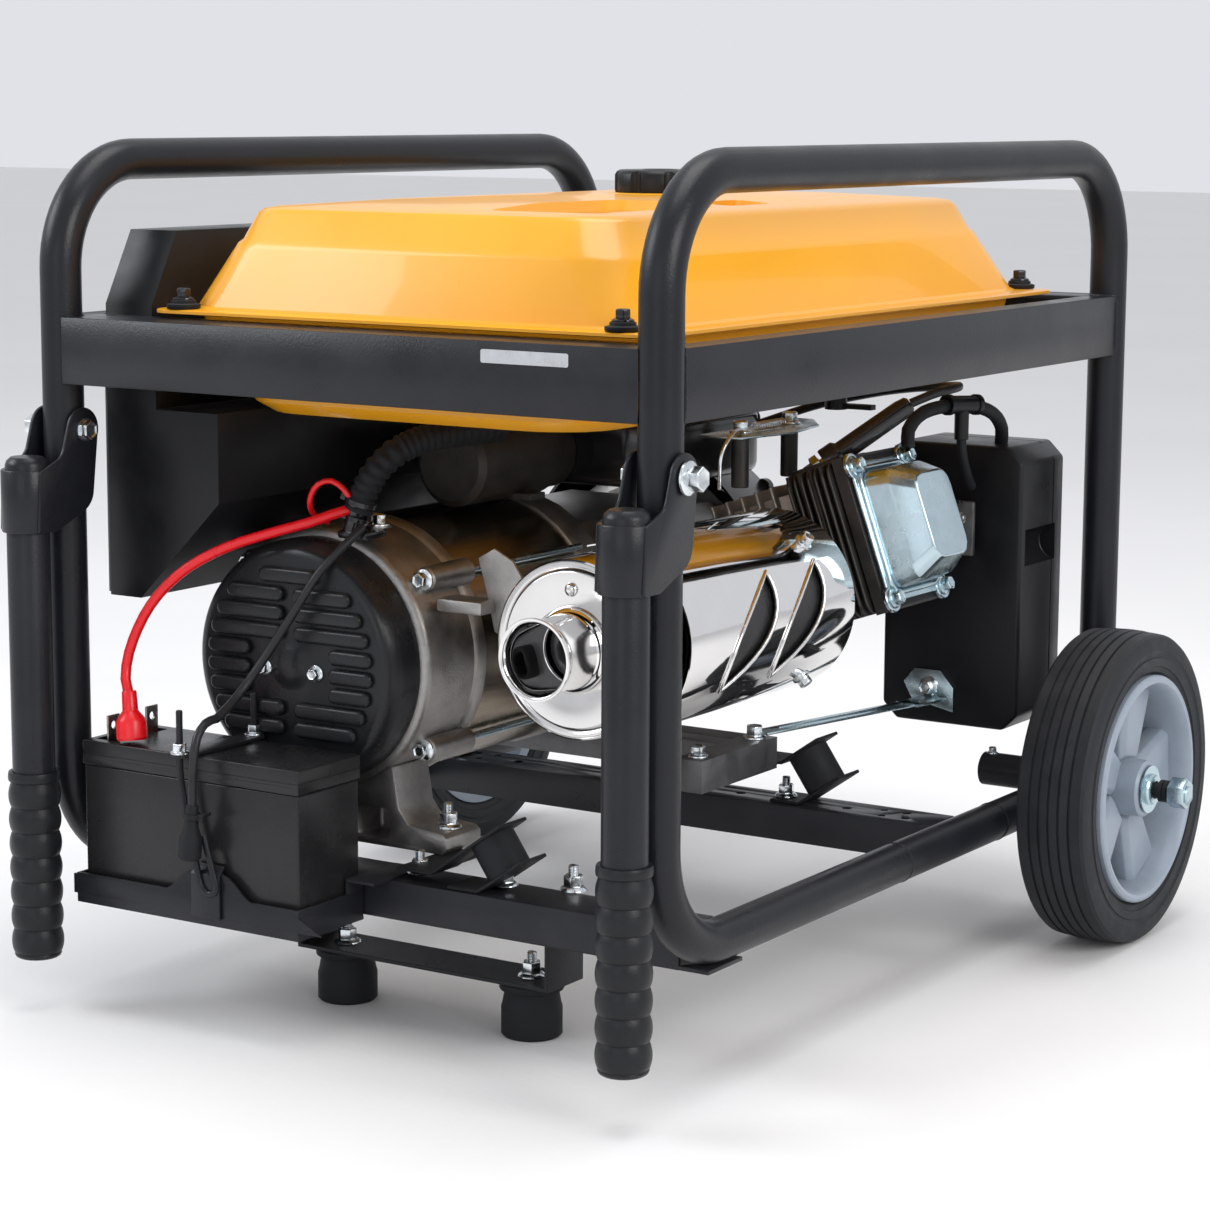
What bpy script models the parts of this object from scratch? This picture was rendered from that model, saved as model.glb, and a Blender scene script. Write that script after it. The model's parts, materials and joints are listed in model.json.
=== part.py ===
"""Portable open-frame generator: two tube loops joined by rails, with a petrol engine, alternator,
tank, battery, two wheels and two folding handles. Metres, +Z up. +X points to the engine end,
-X to the handle and battery end, -Y to the muffler side. The origin is on the ground, under the
middle of the whole machine."""

import math

import bmesh
import bpy
from mathutils import Matrix, Vector

# ---- driving dimensions (measured from the frame's centre unless a comment says otherwise) ----
FRAME_SHIFT_X = 0.0205     # the frame's centre lies this far along +X from the origin
GAP = 0.0003               # clearance between touching pieces
WELD = 0.000003            # points nearer than this are one point

TUBE_R = 0.015
LOOP_X = 0.347             # leg axis to the frame's centre, along X
LOOP_Y = 0.255
RAIL_LOW_Z = 0.103
RAIL_TOP_Z = 0.6187
BEND_R = 0.078

BAR_LOW_Z = 0.4594         # tank rails
BAR_TOP_Z = 0.5076
BAR_OUT = 0.012            # rail's outer face, outside the leg axis
SHEET = 0.003

PIVOT_Z = 0.426            # handle hinge
HANDLE_X = -0.387
HANDLE_R = 0.0155
GRIP_LOW_Z = 0.040
GRIP_TOP_Z = 0.179

WHEEL_R = 0.125
WHEEL_X = 0.240
WHEEL_Y = 0.320            # wheel's middle plane
RIM_R = 0.091
AXLE_R = 0.0135
AXLE_BOLT_R = 0.006

CRANK_Y = 0.097            # crankshaft axis
CRANK_Z = 0.258
SHAFT_R = 0.015
BELL_R = 0.097

CYL_TILT = math.radians(20)
CYL_HEAD = Vector((0.113, -0.185, 0.336))   # middle of the valve cover's joint face

MUFFLER_Y = -0.131
MUFFLER_Z = 0.288
MUFFLER_R = 0.064
MUFFLER_X = (-0.262, 0.030)

TANK_FLANGE_Z = 0.511
TANK_WALL = 0.002
CAP_X = 0.060
CAP_Y = 0.0

BATTERY_LOW = Vector((-0.366, 0.028, 0.0843))
BATTERY_HIGH = Vector((-0.296, 0.225, 0.202))


# ---- helpers ----
def clear_scene():
    for obj in list(bpy.data.objects):
        bpy.data.objects.remove(obj)


def finish(name, colour, roughness, metallic=0.0):
    material = bpy.data.materials.new(name)
    material.use_nodes = True
    shader = material.node_tree.nodes["Principled BSDF"]
    shader.inputs["Base Color"].default_value = (*colour, 1.0)
    shader.inputs["Roughness"].default_value = roughness
    shader.inputs["Metallic"].default_value = metallic
    return material


def new_object(bm):
    bmesh.ops.recalc_face_normals(bm, faces=bm.faces)
    mesh = bpy.data.meshes.new("work")
    bm.to_mesh(mesh)
    bm.free()
    obj = bpy.data.objects.new("work", mesh)
    bpy.context.scene.collection.objects.link(obj)
    return obj


def block(low, high, bevel=0.0):
    bm = bmesh.new()
    bmesh.ops.create_cube(bm, size=1.0)
    low = Vector(low)
    high = Vector(high)
    bmesh.ops.scale(bm, vec=high - low, verts=bm.verts)
    bmesh.ops.translate(bm, vec=(high + low) / 2, verts=bm.verts)
    if bevel:
        bmesh.ops.bevel(bm, geom=bm.edges[:], offset=bevel, segments=1, affect="EDGES", profile=0.5)
    return new_object(bm)


def turned(profile, centre, axis, sides=24, ring=False):
    """A body of revolution. profile holds (radius, height) points; ring joins its last to its first."""
    bm = bmesh.new()
    rows = []
    for radius, height in profile:
        if radius == 0:
            rows.append([bm.verts.new((0, 0, height))])
            continue
        turns = [2 * math.pi * k / sides for k in range(sides)]
        rows.append([bm.verts.new((radius * math.cos(a), radius * math.sin(a), height)) for a in turns])
    pairs = list(zip(rows, rows[1:]))
    if ring:
        pairs.append((rows[-1], rows[0]))
    for lower, upper in pairs:
        for k in range(sides):
            n = (k + 1) % sides
            corners = [lower[k % len(lower)], lower[n % len(lower)]]
            corners += [upper[n % len(upper)], upper[k % len(upper)]]
            corners = list(dict.fromkeys(corners))
            if len(corners) > 2:
                bm.faces.new(corners)
    if not ring:
        for end in (rows[0], rows[-1]):
            if len(end) > 1:
                bm.faces.new(end)
    turn = Vector((0, 0, 1)).rotation_difference(Vector(axis)).to_matrix().to_4x4()
    bmesh.ops.transform(bm, matrix=Matrix.Translation(centre) @ turn, verts=bm.verts)
    return new_object(bm)


def rod(start, end, radius, sides=16):
    start = Vector(start)
    along = Vector(end) - start
    return turned([(radius, 0), (radius, along.length)], start, along.normalized(), sides)


def prism(outline, axis, low, high):
    """Extrudes a 2D outline: (y, z) along X, (x, z) along Y, (x, y) along Z."""
    place = {
        "X": lambda u, v, w: (w, u, v),
        "Y": lambda u, v, w: (u, w, v),
        "Z": lambda u, v, w: (u, v, w),
    }[axis]
    bm = bmesh.new()
    near = [bm.verts.new(place(u, v, low)) for u, v in outline]
    far = [bm.verts.new(place(u, v, high)) for u, v in outline]
    bm.faces.new(near)
    bm.faces.new(far)
    for k in range(len(outline)):
        n = (k + 1) % len(outline)
        bm.faces.new((near[k], near[n], far[n], far[k]))
    return new_object(bm)


def lofted(rings, low_cap=True, high_cap=True):
    """Joins rings of equal length into one skin."""
    bm = bmesh.new()
    rows = [[bm.verts.new(point) for point in ring] for ring in rings]
    for lower, upper in zip(rows, rows[1:]):
        for k in range(len(lower)):
            n = (k + 1) % len(lower)
            bm.faces.new((lower[k], lower[n], upper[n], upper[k]))
    if low_cap:
        bm.faces.new(rows[0])
    if high_cap:
        bm.faces.new(rows[-1])
    return new_object(bm)


def combine(target, tool, operation):
    """Applies a Boolean of tool to target, and removes the tool."""
    modifier = target.modifiers.new("combine", "BOOLEAN")
    modifier.operation = operation
    modifier.object = tool
    modifier.solver = "EXACT"
    bpy.context.view_layer.update()
    depsgraph = bpy.context.evaluated_depsgraph_get()
    mesh = bpy.data.meshes.new_from_object(target.evaluated_get(depsgraph))
    target.modifiers.clear()
    bm = bmesh.new()
    bm.from_mesh(mesh)
    bmesh.ops.remove_doubles(bm, verts=bm.verts, dist=WELD)
    bm.to_mesh(mesh)
    bm.free()
    target.data = mesh
    bpy.data.objects.remove(tool)
    return target


def join(target, *tools):
    for tool in tools:
        combine(target, tool, "UNION")
    return target


def cut(target, *tools):
    for tool in tools:
        combine(target, tool, "DIFFERENCE")
    return target


def empty(name, place, parent=None):
    obj = bpy.data.objects.new(name, None)
    obj.location = place
    obj.parent = parent
    bpy.context.scene.collection.objects.link(obj)
    return obj


def piece(obj, name, material, joint=None):
    """Names a finished part, gives it its material, and hangs it on the frame or on its joint."""
    obj.name = name
    obj.data.name = name
    obj.data.materials.clear()
    obj.data.materials.append(material)
    if obj.type == "MESH":
        obj.data.shade_smooth()
        obj.data.set_sharp_from_angle(angle=math.radians(35))
    if joint is not None:
        obj.data.transform(Matrix.Translation(-joint.location))
    obj.parent = joint or bpy.data.objects["frame_centre"]
    return obj


def cable(points, radius, resolution, cyclic=False):
    curve = bpy.data.curves.new("work", "CURVE")
    curve.dimensions = "3D"
    curve.bevel_depth = radius
    curve.bevel_resolution = resolution
    curve.use_fill_caps = not cyclic
    spline = curve.splines.new("POLY")
    spline.points.add(len(points) - 1)
    for point, place in zip(spline.points, points):
        point.co = (*place, 1.0)
    spline.use_cyclic_u = cyclic
    obj = bpy.data.objects.new("work", curve)
    bpy.context.scene.collection.objects.link(obj)
    return obj


def smooth_route(knots, spacing):
    """Points every `spacing` along a Catmull-Rom curve through the hand-placed knots."""
    knots = [Vector(k) for k in knots]
    ends = [2 * knots[0] - knots[1]] + knots + [2 * knots[-1] - knots[-2]]
    fine = []
    for a, b, c, d in zip(ends, ends[1:], ends[2:], ends[3:]):
        for step in range(20):
            t = step / 20
            fine.append(0.5 * (2 * b + (c - a) * t + (2 * a - 5 * b + 4 * c - d) * t**2
                               + (3 * b - a - 3 * c + d) * t**3))
    fine.append(knots[-1])
    points = [fine[0]]
    for place in fine:
        if (place - points[-1]).length >= spacing:
            points.append(place)
    points[-1] = fine[-1]
    return points


def side_name(side):
    return "right" if side < 0 else "left"


# ---- frame ----
def loop_path(side):
    """One tube loop's centre line: a rectangle in the XZ plane with rounded corners."""
    centres = [
        (LOOP_X - BEND_R, RAIL_LOW_Z + BEND_R, -90),
        (LOOP_X - BEND_R, RAIL_TOP_Z - BEND_R, 0),
        (-LOOP_X + BEND_R, RAIL_TOP_Z - BEND_R, 90),
        (-LOOP_X + BEND_R, RAIL_LOW_Z + BEND_R, 180),
    ]
    points = []
    for x, z, start in centres:
        for step in range(7):
            a = math.radians(start + 15 * step)
            points.append(Vector((x + BEND_R * math.cos(a), side * LOOP_Y, z + BEND_R * math.sin(a))))
    return points


def make_frame_loop(side, paint):
    curve = cable(loop_path(side), TUBE_R, 4, cyclic=True)
    depsgraph = bpy.context.evaluated_depsgraph_get()
    mesh = bpy.data.meshes.new_from_object(curve.evaluated_get(depsgraph))
    loop = bpy.data.objects.new("work", mesh)
    bpy.context.scene.collection.objects.link(loop)
    bpy.data.objects.remove(curve)
    reach = TUBE_R * 1.3
    hole = rod((-LOOP_X, side * LOOP_Y - reach, PIVOT_Z), (-LOOP_X, side * LOOP_Y + reach, PIVOT_Z), 0.0048, 12)
    cut(loop, hole)
    piece(loop, f"frame_loop_{side_name(side)}", paint)


def bar_section(flange, lip):
    """(outward, z) outline of a tank rail: a web with a top flange and a short bottom lip."""
    web = BAR_OUT - SHEET
    return [
        (BAR_OUT, BAR_LOW_Z), (BAR_OUT, BAR_TOP_Z), (flange, BAR_TOP_Z), (flange, BAR_TOP_Z - SHEET),
        (web, BAR_TOP_Z - SHEET), (web, BAR_LOW_Z + SHEET), (lip, BAR_LOW_Z + SHEET), (lip, BAR_LOW_Z),
    ]


def leg_cutter(x, y):
    return rod((x, y, BAR_LOW_Z - 0.02), (x, y, BAR_TOP_Z + 0.02), TUBE_R + 2 * GAP, 24)


def make_tank_rails(paint):
    end = LOOP_X - 0.0095
    for side in (-1, 1):
        outline = [(side * (LOOP_Y + u), z) for u, z in bar_section(-0.009, 0.0)]
        rail = prism(outline, "X", -end, end)
        for x in (-LOOP_X, LOOP_X):
            cut(rail, leg_cutter(x, side * LOOP_Y))
        piece(rail, f"tank_rail_{side_name(side)}", paint)
    end = LOOP_Y - 0.0095
    for name, way in (("battery_end_rail", -1), ("engine_end_rail", 1)):
        outline = [(way * (LOOP_X + u), z) for u, z in bar_section(-0.033, 0.0)]
        rail = prism(outline, "Y", -end, end)
        for y in (-LOOP_Y, LOOP_Y):
            cut(rail, leg_cutter(way * LOOP_X, y))
        piece(rail, name, paint)


MEMBER_TOP_Z = 0.1125
MEMBER_LOW_Z = 0.0845
MEMBER_WALL = 0.0028
MEMBER_HALF = LOOP_Y - TUBE_R - 2 * GAP


def channel(x_low, x_high):
    """A C channel along Y, open toward +X."""
    t = MEMBER_WALL
    outline = [
        (x_high, MEMBER_TOP_Z), (x_low, MEMBER_TOP_Z), (x_low, MEMBER_LOW_Z), (x_high, MEMBER_LOW_Z),
        (x_high, MEMBER_LOW_Z + t), (x_low + t, MEMBER_LOW_Z + t), (x_low + t, MEMBER_TOP_Z - t),
        (x_high, MEMBER_TOP_Z - t),
    ]
    return prism(outline, "Y", -MEMBER_HALF, MEMBER_HALF)


FRONT_MEMBER_X = (-0.2940, -0.2490)
REAR_MEMBER_X = (0.072, 0.117)


def make_cross_members(paint):
    front = channel(*FRONT_MEMBER_X)
    tab_top = RAIL_LOW_Z - TUBE_R - 2 * GAP
    tab_end = LOOP_Y + 0.008
    for side in (-1, 1):
        inner = MEMBER_HALF - 0.01
        low, high = sorted((side * inner, side * tab_end))
        join(front, block((FRONT_MEMBER_X[0], low, MEMBER_LOW_Z + 0.0002), (FRONT_MEMBER_X[1], high, tab_top)))
    piece(front, "front_cross_member", paint)

    rear = channel(*REAR_MEMBER_X)
    middle = sum(REAR_MEMBER_X) / 2
    slots = [(0, 0.157, 4.2), (0, 0.060, 4.2), (10, 0.185, 3.2), (-8, 0.192, 3.2), (10, 0.205, 3.8), (-6, 0.212, 3.8)]
    for side in (-1, 1):
        for offset, y, radius in slots:
            x = middle + offset / 1000
            z = MEMBER_TOP_Z
            cut(rear, rod((x, side * y, z - 0.01), (x, side * y, z + 0.01), radius / 1000, 8))
    piece(rear, "rear_cross_member", paint)


FOOT_X = -0.239
FOOT_Y = 0.083
FOOT_TOP_Z = 0.0397
STRAP_HALF = 0.112


def make_foot_bracket(paint):
    """A U-shaped strap hanging under the front cross member; the rubber feet bolt to it."""
    half_width = 0.023
    t = 0.003
    low = FOOT_TOP_Z + GAP
    top = MEMBER_LOW_Z - GAP
    tab = STRAP_HALF + 0.016
    outline = [
        (-tab, top), (-tab, top - t), (-STRAP_HALF, top - t), (-STRAP_HALF, low), (STRAP_HALF, low),
        (STRAP_HALF, top - t), (tab, top - t), (tab, top), (STRAP_HALF - t, top),
        (STRAP_HALF - t, low + t), (t - STRAP_HALF, low + t), (t - STRAP_HALF, top),
    ]
    strap = prism(outline, "X", FOOT_X - half_width, FOOT_X + half_width)
    piece(strap, "foot_bracket", paint)


def make_feet(rubber):
    for side in (-1, 1):
        profile = [(0, 0), (0.0215, 0), (0.0222, 0.002), (0.0222, 0.022), (0.020, 0.0335), (0.0235, 0.035),
                   (0.0235, FOOT_TOP_Z), (0, FOOT_TOP_Z)]
        foot = turned(profile, (FOOT_X, side * FOOT_Y, 0), (0, 0, 1), 16)
        piece(foot, f"foot_{side_name(side)}", rubber)


# ---- wheels ----
def make_wheel(side, paint, rubber, plastic):
    out = (0, side, 0)
    centre = Vector((WHEEL_X, side * WHEEL_Y, WHEEL_R))
    name = side_name(side)

    inner_end = Vector((WHEEL_X, side * 0.205, WHEEL_R))
    length = WHEEL_Y - 0.0335 - 0.205
    profile = [(0, 0), (AXLE_R - 0.002, 0), (AXLE_R, 0.002), (AXLE_R, length), (AXLE_BOLT_R, length)]
    tip = 0.384 - 0.205
    head = tip - 0.022
    profile += [(AXLE_BOLT_R, head - 0.0055), (0.014, head - 0.0052), (0.014, head - 0.0025), (0.0108, head - 0.0022),
                (0.0108, head + 0.009), (0.0085, head + 0.010), (0.0065, head + 0.0105),
                (0.0065, tip - 0.001), (0.0055, tip), (0, tip)]
    axle = turned(profile, inner_end, out, 16)
    saddle = rod((WHEEL_X - 0.05, side * LOOP_Y, RAIL_LOW_Z), (WHEEL_X + 0.05, side * LOOP_Y, RAIL_LOW_Z),
                 TUBE_R + 2 * GAP)
    cut(axle, saddle)
    piece(axle, f"axle_{name}", paint)

    hinge = empty(f"wheel_{name}_spin", centre, bpy.data.objects["frame_centre"])
    half = 0.0295
    lip = RIM_R + GAP
    tyre_profile = [
        (lip, -half + 0.004), (0.112, -half - 0.0005), (0.121, -half + 0.005),
        (WHEEL_R, -half + 0.014), (WHEEL_R, half - 0.014), (0.121, half - 0.005), (0.112, half + 0.0005),
        (lip, half - 0.004),
    ]
    tyre = turned(tyre_profile, centre, out, 28, ring=True)
    piece(tyre, f"tyre_{name}", rubber, hinge)

    bore = AXLE_BOLT_R + 0.0008
    rim_profile = [
        (bore, -0.032), (0.020, -0.032), (0.022, -0.004), (0.074, -0.002), (0.083, -0.028), (RIM_R, -0.027),
        (RIM_R, 0.030), (0.083, 0.032), (0.074, 0.010), (0.023, 0.014), (0.021, 0.030), (bore, 0.030),
    ]
    rim = turned(rim_profile, centre, out, 28, ring=True)
    piece(rim, f"rim_{name}", plastic, hinge)


# ---- folding handles ----
def make_handle(side, paint, rubber):
    name = side_name(side)
    y = side * LOOP_Y
    hinge = empty(f"handle_{name}_hinge", (-LOOP_X, y, PIVOT_Z), bpy.data.objects["frame_centre"])
    base = (HANDLE_X, y, 0)
    low = GRIP_LOW_Z + 0.006
    cap = 0.409
    r = HANDLE_R
    bore = r - 0.0022
    tube_profile = [
        (bore, low), (r, low), (r, 0.4005), (r + 0.0004, 0.4008), (r + 0.0004, cap - 0.0015),
        (r, cap), (0, cap + 0.0006), (0, 0.397), (bore, 0.396),
    ]
    tube = turned(tube_profile, base, (0, 0, 1), 20, ring=True)
    piece(tube, f"handle_tube_{name}", paint, hinge)

    profile = [(0, GRIP_LOW_Z), (0.0165, GRIP_LOW_Z), (0.0178, GRIP_LOW_Z + 0.002)]
    ribs = 7
    pitch = (GRIP_TOP_Z - GRIP_LOW_Z - 0.004) / ribs
    for k in range(ribs):
        z = GRIP_LOW_Z + 0.003 + pitch * k
        profile += [(0.0166, z + 0.001), (0.0190, z + 0.55 * pitch)]
    profile += [(0.0178, GRIP_TOP_Z), (r + GAP, GRIP_TOP_Z), (r + GAP, low - GAP), (0, low - GAP)]
    grip = turned(profile, base, (0, 0, 1), 16)
    piece(grip, f"handle_grip_{name}", rubber, hinge)

    yoke = yoke_body(side, y)
    piece(yoke, f"handle_yoke_{name}", paint, hinge)


YOKE_LOW_Z = 0.355
YOKE_TOP_Z = 0.400
EAR_INNER = 0.0162         # ear's inner face, from the leg's axis
EAR_OUTER = 0.0190


def yoke_body(side, y):
    """Sheet-metal yoke: a sleeve round the handle tube, two ears and the pivot bolt."""
    sleeve_profile = [(HANDLE_R + GAP, YOKE_LOW_Z), (0.0187, YOKE_LOW_Z), (0.0187, YOKE_TOP_Z),
                      (HANDLE_R + GAP, YOKE_TOP_Z)]
    yoke = turned(sleeve_profile, (HANDLE_X, y, 0), (0, 0, 1), 20, ring=True)
    pivot = (-LOOP_X, PIVOT_Z)
    eye = 0.0165
    outline = [(HANDLE_X - 0.006, YOKE_TOP_Z - 0.002), (HANDLE_X - 0.006, YOKE_LOW_Z), (HANDLE_X + 0.012, YOKE_LOW_Z)]
    for step in range(9):
        a = math.radians(-50 + 22.5 * step)
        outline.append((pivot[0] + eye * math.cos(a), pivot[1] + eye * math.sin(a)))
    for face in (-1, 1):
        low, high = sorted((y + face * EAR_INNER, y + face * EAR_OUTER))
        join(yoke, prism(outline, "Y", low, high))
    bolt_profile = [
        (0, -0.0285), (0.0035, -0.0285), (0.0035, -0.0262), (0.0072, -0.0262), (0.0072, -0.0205), (0.0042, -0.0185),
        (0.0042, 0.0185), (0.0100, 0.0185), (0.0100, 0.0205), (0.0078, 0.0207), (0.0078, 0.0262), (0, 0.0264),
    ]
    return join(yoke, turned(bolt_profile, (-LOOP_X, y, PIVOT_Z), (0, side, 0), 12))


# ---- tank ----
def tank_ring(x_low, x_high, y_low, y_high, corner, z, crown=0.0):
    """A rectangle with cut corners; crown lifts its middle."""
    c = corner
    points = [
        (x_low + c, y_low), (x_high - c, y_low), (x_high, y_low + c), (x_high, y_high - c),
        (x_high - c, y_high), (x_low + c, y_high), (x_low, y_high - c), (x_low, y_low + c),
    ]
    return [(x, y, z + crown) for x, y in points]


TANK_RINGS = [
    # x_low, x_high, y_low, y_high, corner, z
    (-0.255, 0.230, -0.160, 0.120, 0.030, 0.4450),
    (-0.298, 0.262, -0.200, 0.160, 0.030, 0.4600),
    (-0.306, 0.270, -0.212, 0.172, 0.028, TANK_FLANGE_Z),
    (-0.328, 0.290, -0.235, 0.190, 0.016, TANK_FLANGE_Z),
    (-0.328, 0.290, -0.235, 0.190, 0.016, TANK_FLANGE_Z + 0.003),
    (-0.312, 0.274, -0.214, 0.174, 0.040, TANK_FLANGE_Z + 0.003),
    (-0.302, 0.258, -0.193, 0.151, 0.046, 0.561),
    (-0.288, 0.244, -0.177, 0.136, 0.040, 0.585),
    (-0.200, 0.170, -0.105, 0.075, 0.020, 0.592),
]


def make_tank(paint, plastic):
    outer = lofted([tank_ring(*ring) for ring in TANK_RINGS])
    w = TANK_WALL
    hollow_rings = []
    for index in (0, 1, 2, 5, 6, 7, 8):
        x0, x1, y0, y1, corner, z = TANK_RINGS[index]
        lift = w if index == 0 else 0.0
        drop = w if index > 5 else 0.0
        hollow_rings.append(tank_ring(x0 + w, x1 - w, y0 + w, y1 - w, corner, z + lift - drop))
    cut(outer, lofted(hollow_rings))
    neck = rod((CAP_X, CAP_Y, 0.56), (CAP_X, CAP_Y, 0.61), 0.022)
    cut(outer, neck)
    piece(outer, "fuel_tank", paint)

    hinge = empty("fuel_cap_turn", (CAP_X, CAP_Y, 0.600), bpy.data.objects["frame_centre"])
    base = 0.592 + GAP
    profile = [(0, base), (0.0345, base), (0.0350, base + 0.002),
               (0.0350, base + 0.014), (0.0325, base + 0.0165), (0, base + 0.018)]
    piece(turned(profile, (CAP_X, CAP_Y, 0), (0, 0, 1), 20), "fuel_cap", plastic, hinge)


def make_fuel_lever(plastic):
    place = Vector((0.170, -0.100, 0.425))
    hinge = empty("fuel_lever_turn", place, bpy.data.objects["frame_centre"])
    hub = rod(place + Vector((0, 0, -0.006)), place + Vector((0, 0, 0.008)), 0.009, 16)
    arm = block(place + Vector((-0.004, -0.034, -0.005)), place + Vector((0.004, 0.002, -0.001)))
    piece(join(hub, arm), "fuel_valve_lever", plastic, hinge)


# ---- control panel ----
PANEL_Y = 0.2445
PANEL_X = (-0.312, 0.070)
OUTLET_X = (-0.230, -0.150)
OUTLET_Z = 0.378
OUTLET_R = 0.028
KEY_X = 0.040
BREAKER_X = -0.030


def make_panel(plastic, grey, red):
    wall = 0.003
    lower = [(PANEL_Y, 0.300), (0.215, 0.300), (0.140, 0.375), (0.140, 0.440), (0.1975, 0.440), (0.1975, 0.457),
             (PANEL_Y, 0.457)]
    housing = prism(lower, "X", *PANEL_X)
    fin = [(-0.312, 0.450), (-0.312, 0.515), (-0.283, 0.568), (-0.075, 0.568), (-0.045, 0.515), (-0.045, 0.450)]
    join(housing, prism(fin, "Y", 0.2000, PANEL_Y - 0.0005))
    hollow = [(PANEL_Y + 0.01, 0.303), (0.216, 0.303), (0.143, 0.376), (0.143, 0.437), (0.2005, 0.437),
              (0.2005, 0.447), (PANEL_Y + 0.01, 0.447)]
    cut(housing, prism(hollow, "X", PANEL_X[0] + wall, PANEL_X[1] - wall))
    piece(housing, "panel_housing", plastic)

    y0 = PANEL_Y + GAP
    y1 = y0 + 0.003
    face = block((PANEL_X[0] + 0.002, y0, 0.302), (PANEL_X[1] - 0.002, y1, 0.4560))
    for x in OUTLET_X:
        rim = turned([(0.020, -0.001), (OUTLET_R, -0.001), (OUTLET_R, 0.007), (0.020, 0.007)],
                     (x, y1, OUTLET_Z), (0, 1, 0), 16, ring=True)
        join(face, rim)
    key_bezel = turned([(0, -0.001), (0.015, -0.001), (0.015, 0.004), (0, 0.004)], (KEY_X, y1, 0.400), (0, 1, 0), 12)
    join(face, key_bezel)
    window = block((BREAKER_X - 0.0085, y0 - 0.01, 0.368), (BREAKER_X + 0.0085, y1 + 0.01, 0.404))
    cut(face, window)
    gauge = rod((-0.100, y1 - 0.001, 0.410), (-0.100, y1 + 0.006, 0.410), 0.024, 16)
    join(face, gauge)
    for x in (-0.012, 0.012):
        join(face, rod((x + 0.035, y1 - 0.001, 0.335), (x + 0.035, y1 + 0.016, 0.335), 0.006, 12))
    piece(face, "panel_face", grey)

    root = bpy.data.objects["frame_centre"]
    for number, x in enumerate(OUTLET_X, start=1):
        axis_z = OUTLET_Z + OUTLET_R + 0.004
        lid_y = y1 + 0.007 + GAP
        hinge = empty(f"outlet_lid_{number}_hinge", (x, lid_y + 0.002, axis_z), root)
        lid = rod((x, lid_y, OUTLET_Z), (x, lid_y + 0.004, OUTLET_Z), OUTLET_R - 0.001, 16)
        join(lid, block((x - 0.010, lid_y, OUTLET_Z + 0.015), (x + 0.010, lid_y + 0.004, axis_z + 0.002)))
        piece(lid, f"outlet_lid_{number}", plastic, hinge)

    key_y = y1 + 0.004 + GAP
    hinge = empty("key_turn", (KEY_X, key_y, 0.400), root)
    key = rod((KEY_X, key_y, 0.400), (KEY_X, key_y + 0.006, 0.400), 0.010, 16)
    join(key, block((KEY_X - 0.0015, key_y + 0.004, 0.390), (KEY_X + 0.0015, key_y + 0.022, 0.410)))
    piece(key, "engine_key", plastic, hinge)

    pivot = Vector((BREAKER_X, y0 - 0.002, 0.386))
    hinge = empty("breaker_rock", pivot, root)
    outline = [(y0 - 0.006, 0.371), (y0 + 0.004, 0.371), (y0 + 0.0035, 0.386), (y0 + 0.0075, 0.401),
               (y0 - 0.006, 0.401)]
    rocker = prism(outline, "X", BREAKER_X - 0.0078, BREAKER_X + 0.0078)
    piece(rocker, "breaker_rocker", red, hinge)


# ---- alternator ----
def alternator_turned(profile, sides=28, ring=False):
    return turned(profile, (0, CRANK_Y, CRANK_Z), (1, 0, 0), sides, ring)


COVER_X = (-0.285, -0.2505)
BELL_X = (-0.2502, -0.180)
STATOR_X = (-0.1797, -0.0303)
FOOT_PAD_Z = 0.1235


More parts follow.
